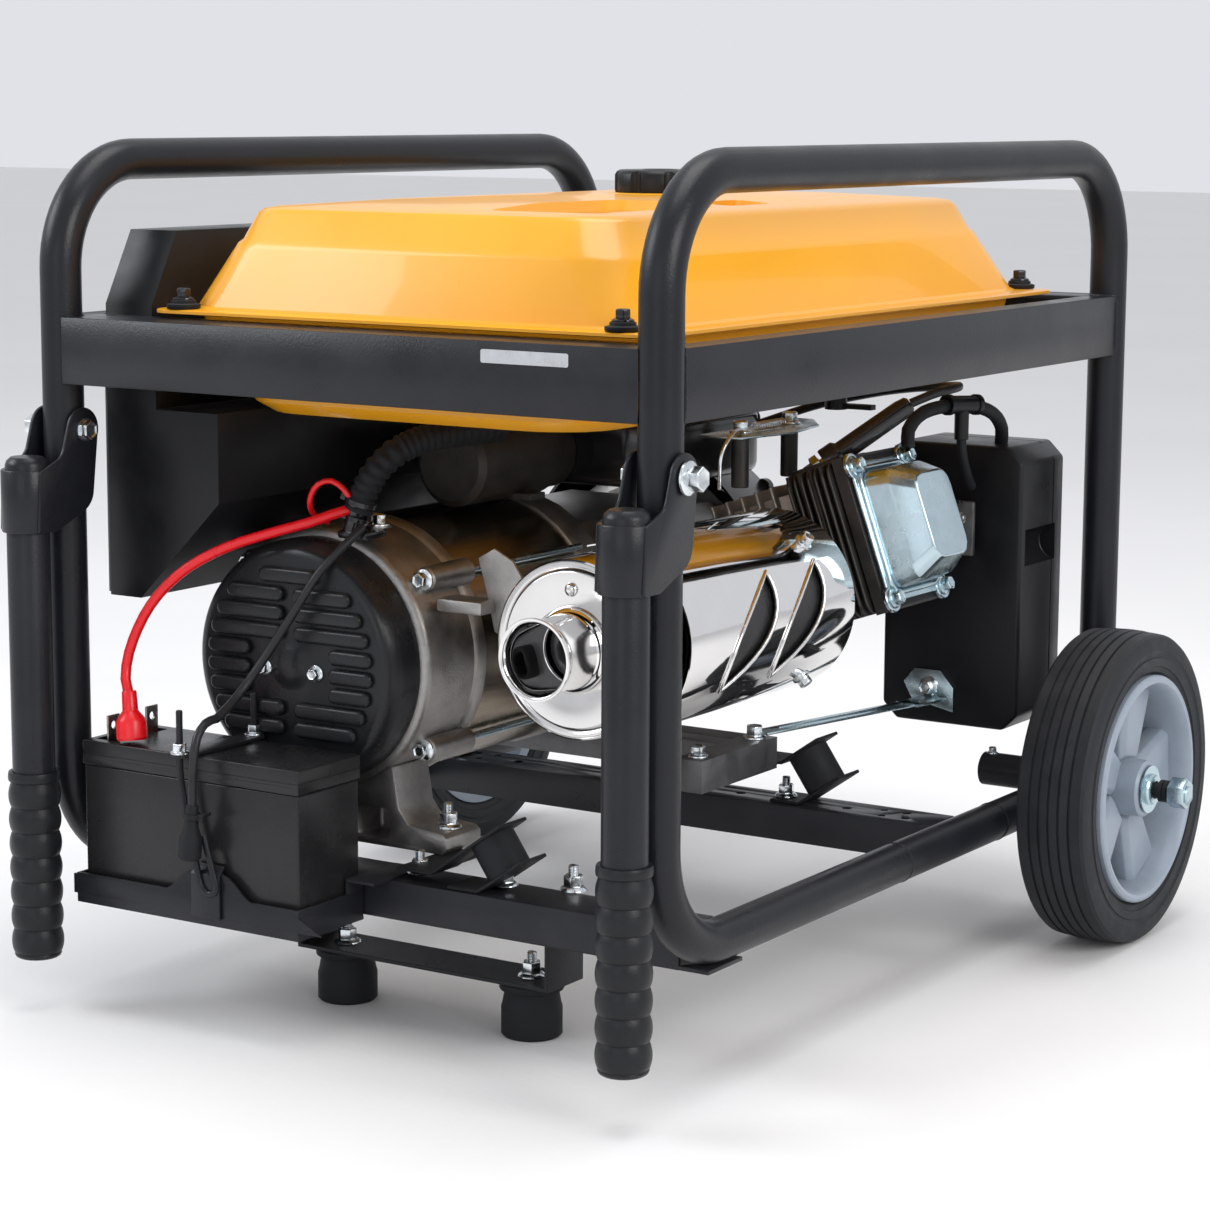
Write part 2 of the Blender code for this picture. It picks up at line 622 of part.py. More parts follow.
def make_alternator(black, cast, steel, copper):
    front, back = COVER_X
    cover = alternator_turned([
        (0, front - 0.004), (0.012, front - 0.004), (0.016, front), (0.080, front), (0.0875, front + 0.005),
        (0.0905, front + 0.013), (0.0905, back), (0.088, back), (0.088, front + 0.0135),
        (0.085, front + 0.0065), (0.078, front + 0.0025), (0, front + 0.0025),
    ])
    piece(cover, "alternator_end_cover", black)

    front, back = BELL_X
    bell = rod((front, CRANK_Y, CRANK_Z), (back, CRANK_Y, CRANK_Z), BELL_R, 28)
    half = 0.112
    low = FOOT_PAD_Z
    foot = [(-half, low), (half, low), (half, low + 0.016), (0.070, low + 0.026), (0.062, low + 0.060),
            (-0.062, low + 0.060), (-0.070, low + 0.026), (-half, low + 0.016)]
    join(bell, prism([(CRANK_Y + u, z) for u, z in foot], "X", front + 0.001, front + 0.045))
    for k in range(4):
        a = math.radians(45 + 90 * k)
        y = CRANK_Y + 0.098 * math.cos(a)
        z = CRANK_Z + 0.098 * math.sin(a)
        join(bell, rod((front + 0.018, y, z), (back - 0.0005, y, z), 0.0095, 12))
    cut(bell, rod((front + 0.010, CRANK_Y, CRANK_Z), (back + 0.01, CRANK_Y, CRANK_Z), 0.0895, 28))
    cut(bell, rod((front - 0.01, CRANK_Y, CRANK_Z), (back, CRANK_Y, CRANK_Z), SHAFT_R + 0.0012, 16))
    piece(bell, "alternator_end_bell", cast)

    front, back = STATOR_X
    stator = alternator_turned([(0.0625, front), (0.0975, front), (0.0975, back), (0.0625, back)], ring=True)
    piece(stator, "alternator_stator", steel)

    hinge = empty("crankshaft_spin", (0, CRANK_Y, CRANK_Z), bpy.data.objects["frame_centre"])
    bore = SHAFT_R + 0.0006
    rotor = alternator_turned([(bore, -0.165), (0.0585, -0.165), (0.0608, -0.160), (0.0608, -0.050), (0.0585, -0.045),
                               (bore, -0.045)], 24, ring=True)
    piece(rotor, "rotor", copper, hinge)
    shaft = alternator_turned([(0, -0.262), (0.012, -0.262), (SHAFT_R, -0.258), (SHAFT_R, 0.232), (0.012, 0.236),
                               (0, 0.236)], 16)
    piece(shaft, "crankshaft", steel, hinge)
    wheel = alternator_turned([(bore, 0.202), (0.030, 0.202), (0.050, 0.206), (0.085, 0.206), (0.098, 0.212),
                               (0.098, 0.230), (0.085, 0.228), (0.050, 0.216), (bore, 0.216)], 24, ring=True)
    piece(wheel, "flywheel_fan", cast, hinge)


# ---- engine ----
def head_frame():
    """Maps (along X, up the joint face, out along the cylinder) to the machine's axes."""
    up = Vector((0, math.sin(CYL_TILT), math.cos(CYL_TILT)))
    out = Vector((0, -math.cos(CYL_TILT), math.sin(CYL_TILT)))
    turn = Matrix((Vector((1, 0, 0)), up, out)).transposed().to_4x4()
    return Matrix.Translation(CYL_HEAD) @ turn


def head_block(half_x, half_up, low, high, bevel=0.0):
    obj = block((-half_x, -half_up, low), (half_x, half_up, high), bevel)
    obj.data.transform(head_frame())
    return obj


def make_engine(cast, dark_cast, zinc, black, grey):
    engine = block((0.0, 0.007, 0.1725), (0.190, 0.172, 0.335), 0.014)
    join(engine, rod((-0.030, CRANK_Y, CRANK_Z), (0.001, CRANK_Y, CRANK_Z), 0.1000, 28))
    join(engine, head_block(0.046, 0.048, -0.225, -0.0560))
    fins = 5
    for k in range(fins):
        z = -0.066 - 0.014 * k
        join(engine, head_block(0.053, 0.057, z - 0.0025, z))
    cut(engine, rod((-0.05, CRANK_Y, CRANK_Z), (0.22, CRANK_Y, CRANK_Z), SHAFT_R + 0.0012))
    piece(engine, "engine_block", cast)

    head = head_block(0.044, 0.047, -0.0555, -GAP)
    join(head, head_block(0.050, 0.062, -0.010, -2 * GAP))
    for k in range(4):
        z = -0.018 - 0.010 * k
        join(head, head_block(0.054, 0.060, z - 0.0025, z))
    join(head, rod((MUFFLER_X[1] + GAP, -0.147, 0.318), (0.075, -0.147, 0.318), 0.014, 16))
    piece(head, "cylinder_head", dark_cast)

    rings = []
    for half_x, half_up, corner, z in ((0.050, 0.062, 0.012, 0), (0.050, 0.062, 0.012, 0.0035),
                                       (0.038, 0.050, 0.016, 0.0040), (0.034, 0.046, 0.014, 0.024),
                                       (0.026, 0.036, 0.012, 0.044)):
        rings.append([head_frame() @ Vector(p) for p in tank_ring(-half_x, half_x, -half_up, half_up, corner, z)])
    piece(lofted(rings), "valve_cover", zinc)

    housing = alternator_turned([
        (0, 0.288), (0.078, 0.288), (0.085, 0.282), (0.087, 0.262), (0.113, 0.262), (0.118, 0.256), (0.118, 0.193),
        (0.1155, 0.193), (0.1155, 0.255), (0.111, 0.2595), (0.0845, 0.2595), (0.0825, 0.281), (0.077, 0.2855),
        (0, 0.2855),
    ])
    piece(housing, "blower_housing", black)

    root = bpy.data.objects["frame_centre"]
    grip_place = Vector((0.302, CRANK_Y, 0.318))
    hinge = empty("recoil_pull", grip_place, root)
    grip = rod(grip_place + Vector((0, -0.036, 0)), grip_place + Vector((0, 0.036, 0)), 0.0090, 16)
    join(grip, rod((0.288 + GAP, CRANK_Y, 0.318), (0.304, CRANK_Y, 0.318), 0.0055, 12))
    piece(grip, "recoil_grip", black, hinge)

    oil_place = Vector((0.035, 0.0067, 0.200))
    hinge = empty("oil_cap_turn", oil_place, root)
    cap = turned([(0, 0), (0.0145, 0), (0.0145, 0.010), (0.012, 0.012), (0, 0.012)], oil_place, (0, -1, 0), 16)
    join(cap, block(oil_place + Vector((-0.011, -0.020, -0.0025)), oil_place + Vector((0.011, -0.010, 0.0025))))
    piece(cap, "oil_filler_cap", black, hinge)

    make_intake(black, grey, root)


AIR_BOX_LOW = Vector((0.250, -0.228, 0.155))
AIR_BOX_HIGH = Vector((0.330, -0.105, 0.388))
CARB = Vector((0, -0.158, 0.325))


def make_intake(black, grey, root):
    box = block(AIR_BOX_LOW, AIR_BOX_HIGH, 0.010)
    piece(box, "air_cleaner", black)
    carb = rod((0.1678, CARB.y, CARB.z), (AIR_BOX_LOW.x - GAP, CARB.y, CARB.z), 0.018, 20)
    join(carb, rod((0.208, CARB.y, 0.274), (0.208, CARB.y, 0.320), 0.021, 20))
    join(carb, block((0.196, CARB.y - 0.024, 0.318), (0.222, CARB.y + 0.020, 0.3440), 0.003))
    piece(carb, "carburettor", grey)
    place = Vector((0.209, CARB.y, 0.3445))
    hinge = empty("choke_turn", place, root)
    lever = rod(place, place + Vector((0, 0, 0.004)), 0.007, 16)
    join(lever, block(place + Vector((-0.003, -0.036, 0.0005)), place + Vector((0.003, 0.0, 0.0035))))
    piece(lever, "choke_lever", black, hinge)


# ---- exhaust ----
def make_muffler(chrome):
    x0, x1 = MUFFLER_X
    r = MUFFLER_R
    w = 0.0015
    profile = [
        (0.0290, x0 - 0.047), (0.0225, x0 - 0.020), (0.0225, x0), (r - 0.004, x0), (r, x0 + 0.005), (r, x1 - 0.005),
        (r - 0.004, x1), (0, x1), (0, x1 - w), (r - 0.005, x1 - w), (r - w, x1 - 0.0055), (r - w, x0 + 0.0055),
        (r - 0.005, x0 + w), (0.0210, x0 + w), (0.0210, x0 - 0.0195), (0.0272, x0 - 0.047),
    ]
    body = turned(profile, (0, MUFFLER_Y, MUFFLER_Z), (1, 0, 0), 24, ring=True)
    piece(body, "muffler_body", chrome)

    outline = []
    steps = 16
    for radius, order in ((r + 0.0050, range(steps + 1)), (r + 0.0038, range(steps, -1, -1))):
        for k in order:
            a = math.radians(180 - 75 + 150 * k / steps)
            outline.append((MUFFLER_Y + radius * math.cos(a), MUFFLER_Z + radius * math.sin(a)))
    piece(prism(outline, "X", -0.215, 0.022), "heat_shield", chrome)


# ---- supports ----
MOUNT_TILT = math.radians(35)
MOUNT_SHEET = 0.0025


def tilted_mount(side, lower, upper, x_plates, x_foot):
    """Rubber buffer between two plates that rise outward; each plate has a flat strap inboard.
    lower and upper are the (y, z) bends of the two plates."""
    t = MOUNT_SHEET
    run = Vector((0, side * math.cos(MOUNT_TILT), math.sin(MOUNT_TILT)))
    rise = Vector((0, -side * math.sin(MOUNT_TILT), math.cos(MOUNT_TILT)))
    bend_low = Vector((0, *lower))
    bend_high = Vector((0, *upper))
    middle = 0.0225
    span = bend_high - bend_low
    shift = -span.dot(run)

    def bent_sheet(bend, flat, reach, x_range):
        """A flat strap reaching inboard from the bend, and a tilted plate rising outboard."""
        inboard = Vector((0, -side * flat, 0))
        crease = bend + rise * t + run * t * math.tan(MOUNT_TILT / 2)
        top = Vector((0, 0, t))
        corners = [bend + inboard, bend, bend + run * reach, bend + run * reach + rise * t, crease,
                   bend + inboard + top]
        return prism([(p.y, p.z) for p in corners], "X", *x_range)

    body = bent_sheet(bend_low, 0.026, 2 * middle, x_plates)
    top = bent_sheet(bend_high, 0.030, 2 * middle + shift, x_foot)
    trim_x = (x_foot[0] - 0.01, x_plates[0]) if x_foot[0] < x_plates[0] else (x_plates[1], x_foot[1] + 0.01)
    low, high = sorted((bend_high.y - side * 0.002, bend_high.y + side * 0.08))
    cut(top, block((trim_x[0], low, bend_high.z - 0.01), (trim_x[1], high, bend_high.z + 0.06)))
    foot = bend_low + run * middle + Vector(((x_plates[0] + x_plates[1]) / 2, 0, 0))
    join(body, rod(foot + rise * 0.001, foot + rise * (span.dot(rise) + 0.001), 0.0165, 20))
    return join(body, top)


def make_supports(black, steel):
    base_top = 0.172
    base_low = 0.147
    near = block((-0.060, -0.116, base_low), (0.054, -0.091, base_top))
    join(near, block((-0.060, 0.205, base_low), (0.054, 0.230, base_top)))
    for x in (0.016, 0.041):
        join(near, block((x - 0.0115, -0.110, base_low + 0.0002), (x + 0.0115, 0.210, base_top - 0.0002)))
    piece(near, "engine_base", steel)

    low_z = MEMBER_TOP_Z + 0.0004
    high_z = base_low - GAP - MOUNT_SHEET
    for side, y in ((-1, -0.122), (1, 0.236)):
        mount = tilted_mount(side, (y, low_z), (y - side * 0.016, high_z), (0.078, 0.112), (0.030, 0.112))
        piece(mount, f"engine_mount_{side_name(side)}", black)
    high_z = FOOT_PAD_Z - GAP - MOUNT_SHEET
    for side, y in ((-1, -0.072), (1, 0.196)):
        mount = tilted_mount(side, (y, low_z), (y - side * 0.040, high_z), (-0.292, -0.258), (-0.292, -0.222))
        piece(mount, f"alternator_mount_{side_name(side)}", black)


# ---- battery ----
def make_battery(black, paint):
    low = BATTERY_LOW
    high = BATTERY_HIGH
    case = block(low, (high.x, high.y, high.z - 0.018), 0.002)
    lid = block((low.x - 0.0010, low.y - 0.0010, high.z - 0.0185), (high.x + 0.0010, high.y + 0.0010, high.z), 0.002)
    join(case, lid)
    for x in (-0.352, -0.312):
        join(case, block((x - 0.0008, 0.203, high.z - 0.001), (x + 0.0008, 0.215, high.z + 0.018)))
    piece(case, "battery", black)

    t = 0.0022
    floor = 0.0838
    x0 = low.x - 0.0038
    x1 = high.x + 0.0035
    y0 = low.y - 0.004
    y1 = high.y + 0.004
    lip = 0.1035
    outline = [(x0 - t, floor - t), (-0.2965, floor - t), (-0.2965, floor), (x0, floor), (x0, lip), (x0 - t, lip)]
    tray = prism(outline, "Y", y0, y1)
    for y in (y0, y1 - t):
        join(tray, block((x0 - t, y, floor - t), (-0.2968, y + t, lip)))
    arm_low = MEMBER_TOP_Z + GAP
    for y, reach in ((y0, -0.024), (y1 - t, 0.008)):
        join(tray, block((-0.315, y + 0.0001, floor), (-0.2969, y + t - 0.0001, arm_low + t)))
        low, high = sorted((y + t / 2, y + t / 2 + reach))
        join(tray, block((-0.3148, low, arm_low), (-0.2560, high, arm_low + t - 0.0001)))
    piece(tray, "battery_tray", paint)


def make_battery_clamp(black):
    top = BATTERY_HIGH.z + GAP
    strap = block((-0.378, 0.118, top), (-0.2875, 0.134, top + 0.0025))
    for x, low in ((-0.3755, 0.110), (-0.2925, 0.150)):
        join(strap, rod((x, 0.126, low), (x, 0.126, top + 0.034), 0.0025, 10))
        join(strap, rod((x, 0.126, top + 0.0020), (x, 0.126, top + 0.0085), 0.0052, 6))
    piece(strap, "battery_clamp", black)


# ---- cables ----
LOOM = Vector((-0.252, 0.060, 0.372))
RED_ROUTE = [
    (-0.2520, 0.0600, 0.3720), (-0.262, 0.070, 0.369), (-0.275, 0.086, 0.362), (-0.290, 0.110, 0.354),
    (-0.308, 0.138, 0.343), (-0.324, 0.164, 0.326), (-0.336, 0.184, 0.302), (-0.344, 0.196, 0.274),
    (-0.350, 0.198, 0.250), (-0.355, 0.190, 0.234),
]
BLACK_ROUTE = [
    (-0.262, 0.048, 0.360), (-0.276, 0.054, 0.348), (-0.292, 0.066, 0.328), (-0.300, 0.082, 0.300),
    (-0.308, 0.098, 0.272), (-0.320, 0.108, 0.250), (-0.338, 0.110, 0.236), (-0.3560, 0.109, 0.228),
]


def make_cables(red, black):
    for name, route, radius, material in (("battery_cable_red", RED_ROUTE, 0.0038, red),
                                          ("battery_cable_black", BLACK_ROUTE, 0.0032, black)):
        curve = cable(smooth_route(route, 0.009), radius, 2)
        piece(curve, name, material)


def main():
    clear_scene()
    empty("frame_centre", (FRAME_SHIFT_X, 0, 0))

    black_paint = finish("black_paint", (0.022, 0.023, 0.026), 0.45)
    yellow_paint = finish("yellow_paint", (0.90, 0.40, 0.015), 0.28)
    chrome = finish("chrome", (0.75, 0.74, 0.73), 0.08, 1.0)
    zinc = finish("zinc", (0.55, 0.66, 0.70), 0.25, 1.0)
    cast = finish("cast_aluminium", (0.42, 0.40, 0.38), 0.55, 0.9)
    dark_cast = finish("dark_cast", (0.16, 0.15, 0.14), 0.6, 0.8)
    steel = finish("steel", (0.20, 0.20, 0.21), 0.45, 0.9)
    copper = finish("rotor_steel", (0.38, 0.30, 0.22), 0.5, 0.8)
    rubber = finish("rubber", (0.020, 0.021, 0.023), 0.75)
    tyre_rubber = finish("tyre_rubber", (0.022, 0.023, 0.024), 0.7)
    rim_grey = finish("rim_grey", (0.32, 0.36, 0.42), 0.45)
    plastic = finish("black_plastic", (0.012, 0.012, 0.013), 0.4)
    grey = finish("panel_grey", (0.10, 0.10, 0.105), 0.5)
    red = finish("red_plastic", (0.62, 0.01, 0.01), 0.35)

    for side in (-1, 1):
        make_frame_loop(side, black_paint)
        make_wheel(side, black_paint, tyre_rubber, rim_grey)
        make_handle(side, black_paint, rubber)
    make_tank_rails(black_paint)
    make_cross_members(black_paint)
    make_foot_bracket(black_paint)
    make_feet(rubber)
    make_tank(yellow_paint, plastic)
    make_fuel_lever(plastic)
    make_panel(plastic, grey, red)
    make_alternator(plastic, cast, steel, copper)
    make_engine(cast, dark_cast, zinc, plastic, grey)
    make_muffler(chrome)
    make_supports(rubber, steel)
    make_battery(plastic, black_paint)
    make_battery_clamp(black_paint)
    make_cables(red, plastic)


if __name__ == "__main__":
    main()
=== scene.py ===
import json
from math import asin, copysign, cos, degrees, exp, pi, radians, sin, sqrt, tau
from contextlib import contextmanager

import bmesh
import bpy
from bpy.props import FloatProperty, FloatVectorProperty, IntProperty, PointerProperty
from mathutils import Matrix, Vector, noise


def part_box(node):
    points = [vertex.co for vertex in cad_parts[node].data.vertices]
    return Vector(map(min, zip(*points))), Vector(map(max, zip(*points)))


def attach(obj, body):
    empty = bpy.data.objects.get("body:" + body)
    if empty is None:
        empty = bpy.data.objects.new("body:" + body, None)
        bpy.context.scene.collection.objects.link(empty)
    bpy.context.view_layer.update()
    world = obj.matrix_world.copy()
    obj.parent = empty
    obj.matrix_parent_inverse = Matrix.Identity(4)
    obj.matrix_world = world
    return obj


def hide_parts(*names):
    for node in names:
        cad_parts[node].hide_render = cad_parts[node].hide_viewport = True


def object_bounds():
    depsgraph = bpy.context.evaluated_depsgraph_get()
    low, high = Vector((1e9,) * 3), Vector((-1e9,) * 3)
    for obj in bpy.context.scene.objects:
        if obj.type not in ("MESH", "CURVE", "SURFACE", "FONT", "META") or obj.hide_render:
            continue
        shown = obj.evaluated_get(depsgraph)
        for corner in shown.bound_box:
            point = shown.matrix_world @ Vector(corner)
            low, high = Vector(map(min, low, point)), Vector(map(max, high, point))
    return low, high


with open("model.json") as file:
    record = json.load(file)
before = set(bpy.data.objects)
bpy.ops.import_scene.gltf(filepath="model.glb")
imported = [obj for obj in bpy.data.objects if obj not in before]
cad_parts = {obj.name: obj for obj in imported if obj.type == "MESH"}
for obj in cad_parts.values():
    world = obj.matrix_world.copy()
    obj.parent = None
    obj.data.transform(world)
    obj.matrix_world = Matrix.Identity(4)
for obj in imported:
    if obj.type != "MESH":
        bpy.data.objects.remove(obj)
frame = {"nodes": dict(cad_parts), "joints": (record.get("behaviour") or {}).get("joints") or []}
CAD_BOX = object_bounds()

bl_info = {"name": "Portable generator", "version": (1, 0, 0), "blender": (4, 5, 0),
    "location": "View3D > Sidebar > Generator",
    "description": "Builds the finished look of an open-frame portable generator", "category": "Object",}


# ---- places read from the frame ----
def middle(node):
    low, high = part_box(node)
    return (low + high) / 2


def size(node):
    low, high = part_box(node)
    return high - low


FRAME_X = middle("frame_loop_left").x     # all places below are measured from the frame's middle
LOOP_Y = middle("frame_loop_left").y
TUBE_R = size("frame_loop_left").y / 2
LOOP_X = size("frame_loop_left").x / 2 - TUBE_R
RAIL_LOW_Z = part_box("frame_loop_left")[0].z + TUBE_R
RAIL_TOP_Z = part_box("frame_loop_left")[1].z - TUBE_R
BAR_LOW_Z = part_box("tank_rail_left")[0].z
BAR_TOP_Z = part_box("tank_rail_left")[1].z
BEND_R = 0.078
WHEEL_X = middle("tyre_left").x - FRAME_X
WHEEL_Y = middle("tyre_left").y
WHEEL_R = size("tyre_left").z / 2
CRANK_Y = middle("alternator_stator").y
CRANK_Z = middle("alternator_stator").z
HANDLE_X = middle("handle_grip_left").x - FRAME_X
PIVOT_Z = next(j["pos_m"][2] for j in frame["joints"] if j["name"] == "handle_left_fold")
SIDES = (("right", -1), ("left", 1))


def at(x, y, z):
    """A point measured from the frame's middle, on the ground."""
    return Vector((x + FRAME_X, y, z))


# ---- modelling tools ----
def chosen(obj):
    """Makes obj the only selected object, and the active one."""
    bpy.ops.object.select_all(action="DESELECT")
    obj.select_set(True)
    bpy.context.view_layer.objects.active = obj
    return obj


def named(name):
    obj = bpy.context.object
    obj.name = name
    obj.data.name = name
    return obj


@contextmanager
def editing(obj):
    """Opens obj in edit mode with nothing selected, and hands over its bmesh."""
    chosen(obj)
    bpy.ops.object.mode_set(mode="EDIT")
    bpy.ops.mesh.select_mode(type="FACE")
    bpy.ops.mesh.select_all(action="DESELECT")
    yield bmesh.from_edit_mesh(obj.data)
    bpy.ops.object.mode_set(mode="OBJECT")


def pick_faces(mesh, obj, test):
    """Selects the faces whose middle and normal pass the test."""
    for face in mesh.faces:
        face.select_set(test(face.calc_center_median(), face.normal))
    bmesh.update_edit_mesh(obj.data)


def smooth(obj, angle=35):
    chosen(obj)
    bpy.ops.object.shade_smooth_by_angle(angle=radians(angle))
    return obj


def applied(obj, modifier):
    chosen(obj)
    bpy.ops.object.modifier_apply(modifier=modifier.name)
    return obj


def rounded(obj, width, segments=2, angle=30, clamp=True):
    modifier = obj.modifiers.new("edge", "BEVEL")
    modifier.width = width
    modifier.segments = segments
    modifier.limit_method = "ANGLE"
    modifier.angle_limit = radians(angle)
    modifier.use_clamp_overlap = clamp
    return smooth(applied(obj, modifier))


def combined(target, tool, operation):
    modifier = target.modifiers.new("combine", "BOOLEAN")
    modifier.operation = operation
    modifier.object = tool
    modifier.solver = "EXACT"
    applied(target, modifier)
    bpy.data.objects.remove(tool)
    return target


def cut(target, tool):
    return combined(target, tool, "DIFFERENCE")


def joined(name, parts):
    """Joins separate closed parts into one object."""
    parts = list(parts)
    chosen(parts[0])
    for part in parts[1:]:
        part.select_set(True)
    if len(parts) > 1:
        bpy.ops.object.join()
    parts[0].name = name
    parts[0].data.name = name
    return parts[0]


def placed(obj, centre, axis, up=None):
    """Turns +Z onto axis (and +X onto up), moves the origin to centre, and puts it all in the mesh."""
    z = Vector(axis).normalized()
    if up is None:
        turn = Vector((0, 0, 1)).rotation_difference(z).to_matrix().to_4x4()
    else:
        x = Vector(up) - Vector(up).dot(z) * z
        x.normalize()
        turn = Matrix((x, z.cross(x), z)).transposed().to_4x4()
    obj.matrix_world = Matrix.Translation(centre) @ turn
    chosen(obj)
    bpy.ops.object.transform_apply(location=True, rotation=True, scale=True)
    return obj


def copied(obj, matrix):
    twin = obj.copy()
    twin.data = obj.data.copy()
    bpy.context.scene.collection.objects.link(twin)
    twin.matrix_world = matrix
    chosen(twin)
    bpy.ops.object.transform_apply(location=True, rotation=True, scale=True)
    if matrix.determinant() < 0:
        with editing(twin):
            bpy.ops.mesh.select_all(action="SELECT")
            bpy.ops.mesh.flip_normals()
    return twin


def block(low, high, bevel=0.0, segments=2):
    """A box between two corners, its edges rounded."""
    low = Vector(low)
    high = Vector(high)
    bpy.ops.object.select_all(action="DESELECT")
    bpy.ops.mesh.primitive_cube_add(size=1, location=(low + high) / 2, scale=high - low)
    obj = named("block")
    bpy.ops.object.transform_apply(location=True, rotation=True, scale=True)
    return rounded(obj, bevel, segments) if bevel else obj


def chain(points):
    """Draws a string of edges by extruding one vertex from point to point, and stays in edit mode."""
    points = [Vector(p) for p in points]
    bpy.ops.object.select_all(action="DESELECT")
    bpy.ops.mesh.primitive_plane_add(size=0.001)
    obj = named("outline")
    bpy.ops.object.mode_set(mode="EDIT")
    bpy.ops.mesh.select_mode(type="VERT")
    bpy.ops.mesh.select_all(action="SELECT")
    bpy.ops.mesh.merge(type="CENTER")
    bpy.ops.transform.translate(value=points[0])
    for start, end in zip(points, points[1:]):
        bpy.ops.mesh.extrude_vertices_move(TRANSFORM_OT_translate={"value": end - start})
    return obj


def prism(outline, axis, low, high):
    """A plate or bar: a 2D outline, (y, z) along X, (x, z) along Y or (x, y) along Z, pulled out."""
    place = {"X": lambda u, v: (low, u, v), "Y": lambda u, v: (u, low, v), "Z": lambda u,
        v: (u, v, low)}[axis]
    pull = {"X": (high - low, 0, 0), "Y": (0, high - low, 0), "Z": (0, 0, high - low)}[axis]
    obj = chain([place(u, v) for u, v in outline])
    bpy.ops.mesh.select_all(action="SELECT")
    bpy.ops.mesh.edge_face_add()
    bpy.ops.mesh.select_all(action="SELECT")
    bpy.ops.mesh.extrude_region_move(TRANSFORM_OT_translate={"value": pull})
    bpy.ops.mesh.select_all(action="SELECT")
    bpy.ops.mesh.normals_make_consistent(inside=False)
    bpy.ops.object.mode_set(mode="OBJECT")
    return obj


def turned(profile, centre, axis, sides=48, ring=False, angle=35):
    """Spins (radius, height) points about an axis; ring closes the profile on itself."""
    obj = chain([(radius, 0, height) for radius, height in profile])
    if ring:
        mesh = bmesh.from_edit_mesh(obj.data)
        mesh.verts.ensure_lookup_table()
        ends = [v for v in mesh.verts if len(v.link_edges) == 1]
        bpy.ops.mesh.select_all(action="DESELECT")
        for vert in ends:
            vert.select_set(True)
        bmesh.update_edit_mesh(obj.data)
        bpy.ops.mesh.edge_face_add()
    bpy.ops.mesh.select_all(action="SELECT")
    bpy.ops.mesh.spin(steps=sides, angle=tau, center=(0, 0, 0), axis=(0, 0, 1), use_auto_merge=True)
    bpy.ops.mesh.select_all(action="SELECT")
    bpy.ops.mesh.remove_doubles(threshold=0.000002)
    bpy.ops.mesh.normals_make_consistent(inside=False)
    bpy.ops.object.mode_set(mode="OBJECT")
    return smooth(placed(obj, centre, axis), angle)


def rod(start, end, radius, sides=32, chamfer=0.0006):
    """A turned bar with chamfered ends."""
    start = Vector(start)
    along = Vector(end) - start
    length = along.length
    c = min(chamfer, radius / 3, length / 3)
    profile = [(0, 0), (radius - c, 0), (radius, c), (radius, length - c), (radius - c, length), (0, length)]
    return turned(profile, start, along, sides)


def smooth_route(knots, spacing):
    """Points every `spacing` along a Catmull-Rom curve through the given knots."""
    knots = [Vector(k) for k in knots]
    ends = [2 * knots[0] - knots[1]] + knots + [2 * knots[-1] - knots[-2]]
    fine = []
    for a, b, c, d in zip(ends, ends[1:], ends[2:], ends[3:]):
        for step in range(20):
            t = step / 20
            square = (2 * a - 5 * b + 4 * c - d) * t**2
            cube = (3 * b - a - 3 * c + d) * t**3
            fine.append(0.5 * (2 * b + (c - a) * t + square + cube))
    fine.append(knots[-1])
    points = [fine[0]]
    for place in fine:
        if (place - points[-1]).length >= spacing:
            points.append(place)
    points[-1] = fine[-1]
    return points


def tube(points, radius, resolution=6, cyclic=False, swell=None):
    """A curve of one spline with a round section; swell scales the radius at each point."""
    curve = bpy.data.curves.new("tube", "CURVE")
    curve.dimensions = "3D"
    curve.bevel_depth = radius
    curve.bevel_resolution = resolution
    curve.use_fill_caps = not cyclic
    spline = curve.splines.new("POLY")
    spline.points.add(len(points) - 1)
    for index, (point, place) in enumerate(zip(spline.points, points)):
        point.co = (*place, 1.0)
        if swell:
            point.radius = swell[index]
    spline.use_cyclic_u = cyclic
    spline.use_smooth = True
    obj = bpy.data.objects.new("tube", curve)
    bpy.context.scene.collection.objects.link(obj)
    return obj


def solid_tube(points, radius, resolution=6, cyclic=False, swell=None):
    """The same tube as a mesh."""
    obj = chosen(tube(points, radius, resolution, cyclic, swell))
    bpy.ops.object.convert(target="MESH")
    obj = bpy.context.object
    with editing(obj):
        bpy.ops.mesh.select_all(action="SELECT")
        bpy.ops.mesh.remove_doubles(threshold=0.000002)
        bpy.ops.mesh.normals_make_consistent(inside=False)
    return smooth(obj, 40)


def softened(node, width=0.001, segments=2, angle=30, clamp=True):
    """A copy of a CAD node with its triangles merged and its edges rounded."""
    obj = bpy.data.objects.new(node, frame["nodes"][node].data.copy())
    bpy.context.scene.collection.objects.link(obj)
    with editing(obj):
        bpy.ops.mesh.select_all(action="SELECT")
        bpy.ops.mesh.remove_doubles(threshold=0.00002)
        bpy.ops.mesh.dissolve_limited(angle_limit=radians(0.5))
    return rounded(obj, width, segments, angle, clamp)


def arc(centre, radius, start, end, steps):
    """2D points along an arc, in degrees."""
    turns = [radians(start + (end - start) * k / steps) for k in range(steps + 1)]
    return [(centre[0] + radius * cos(a), centre[1] + radius * sin(a)) for a in turns]


def fitted(obj, name, finish, body, *replaced, slot=None):
    """Names a finished piece, and gives it its finish, its body and the CAD nodes that it stands for."""
    if isinstance(obj, list):
        obj = joined(name, obj)
    obj.name = name
    obj.data.name = name
    obj.data.materials.clear()
    obj.data.materials.append(FINISH[finish])
    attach(obj, body)
    if replaced:
        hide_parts(*replaced)
    return obj


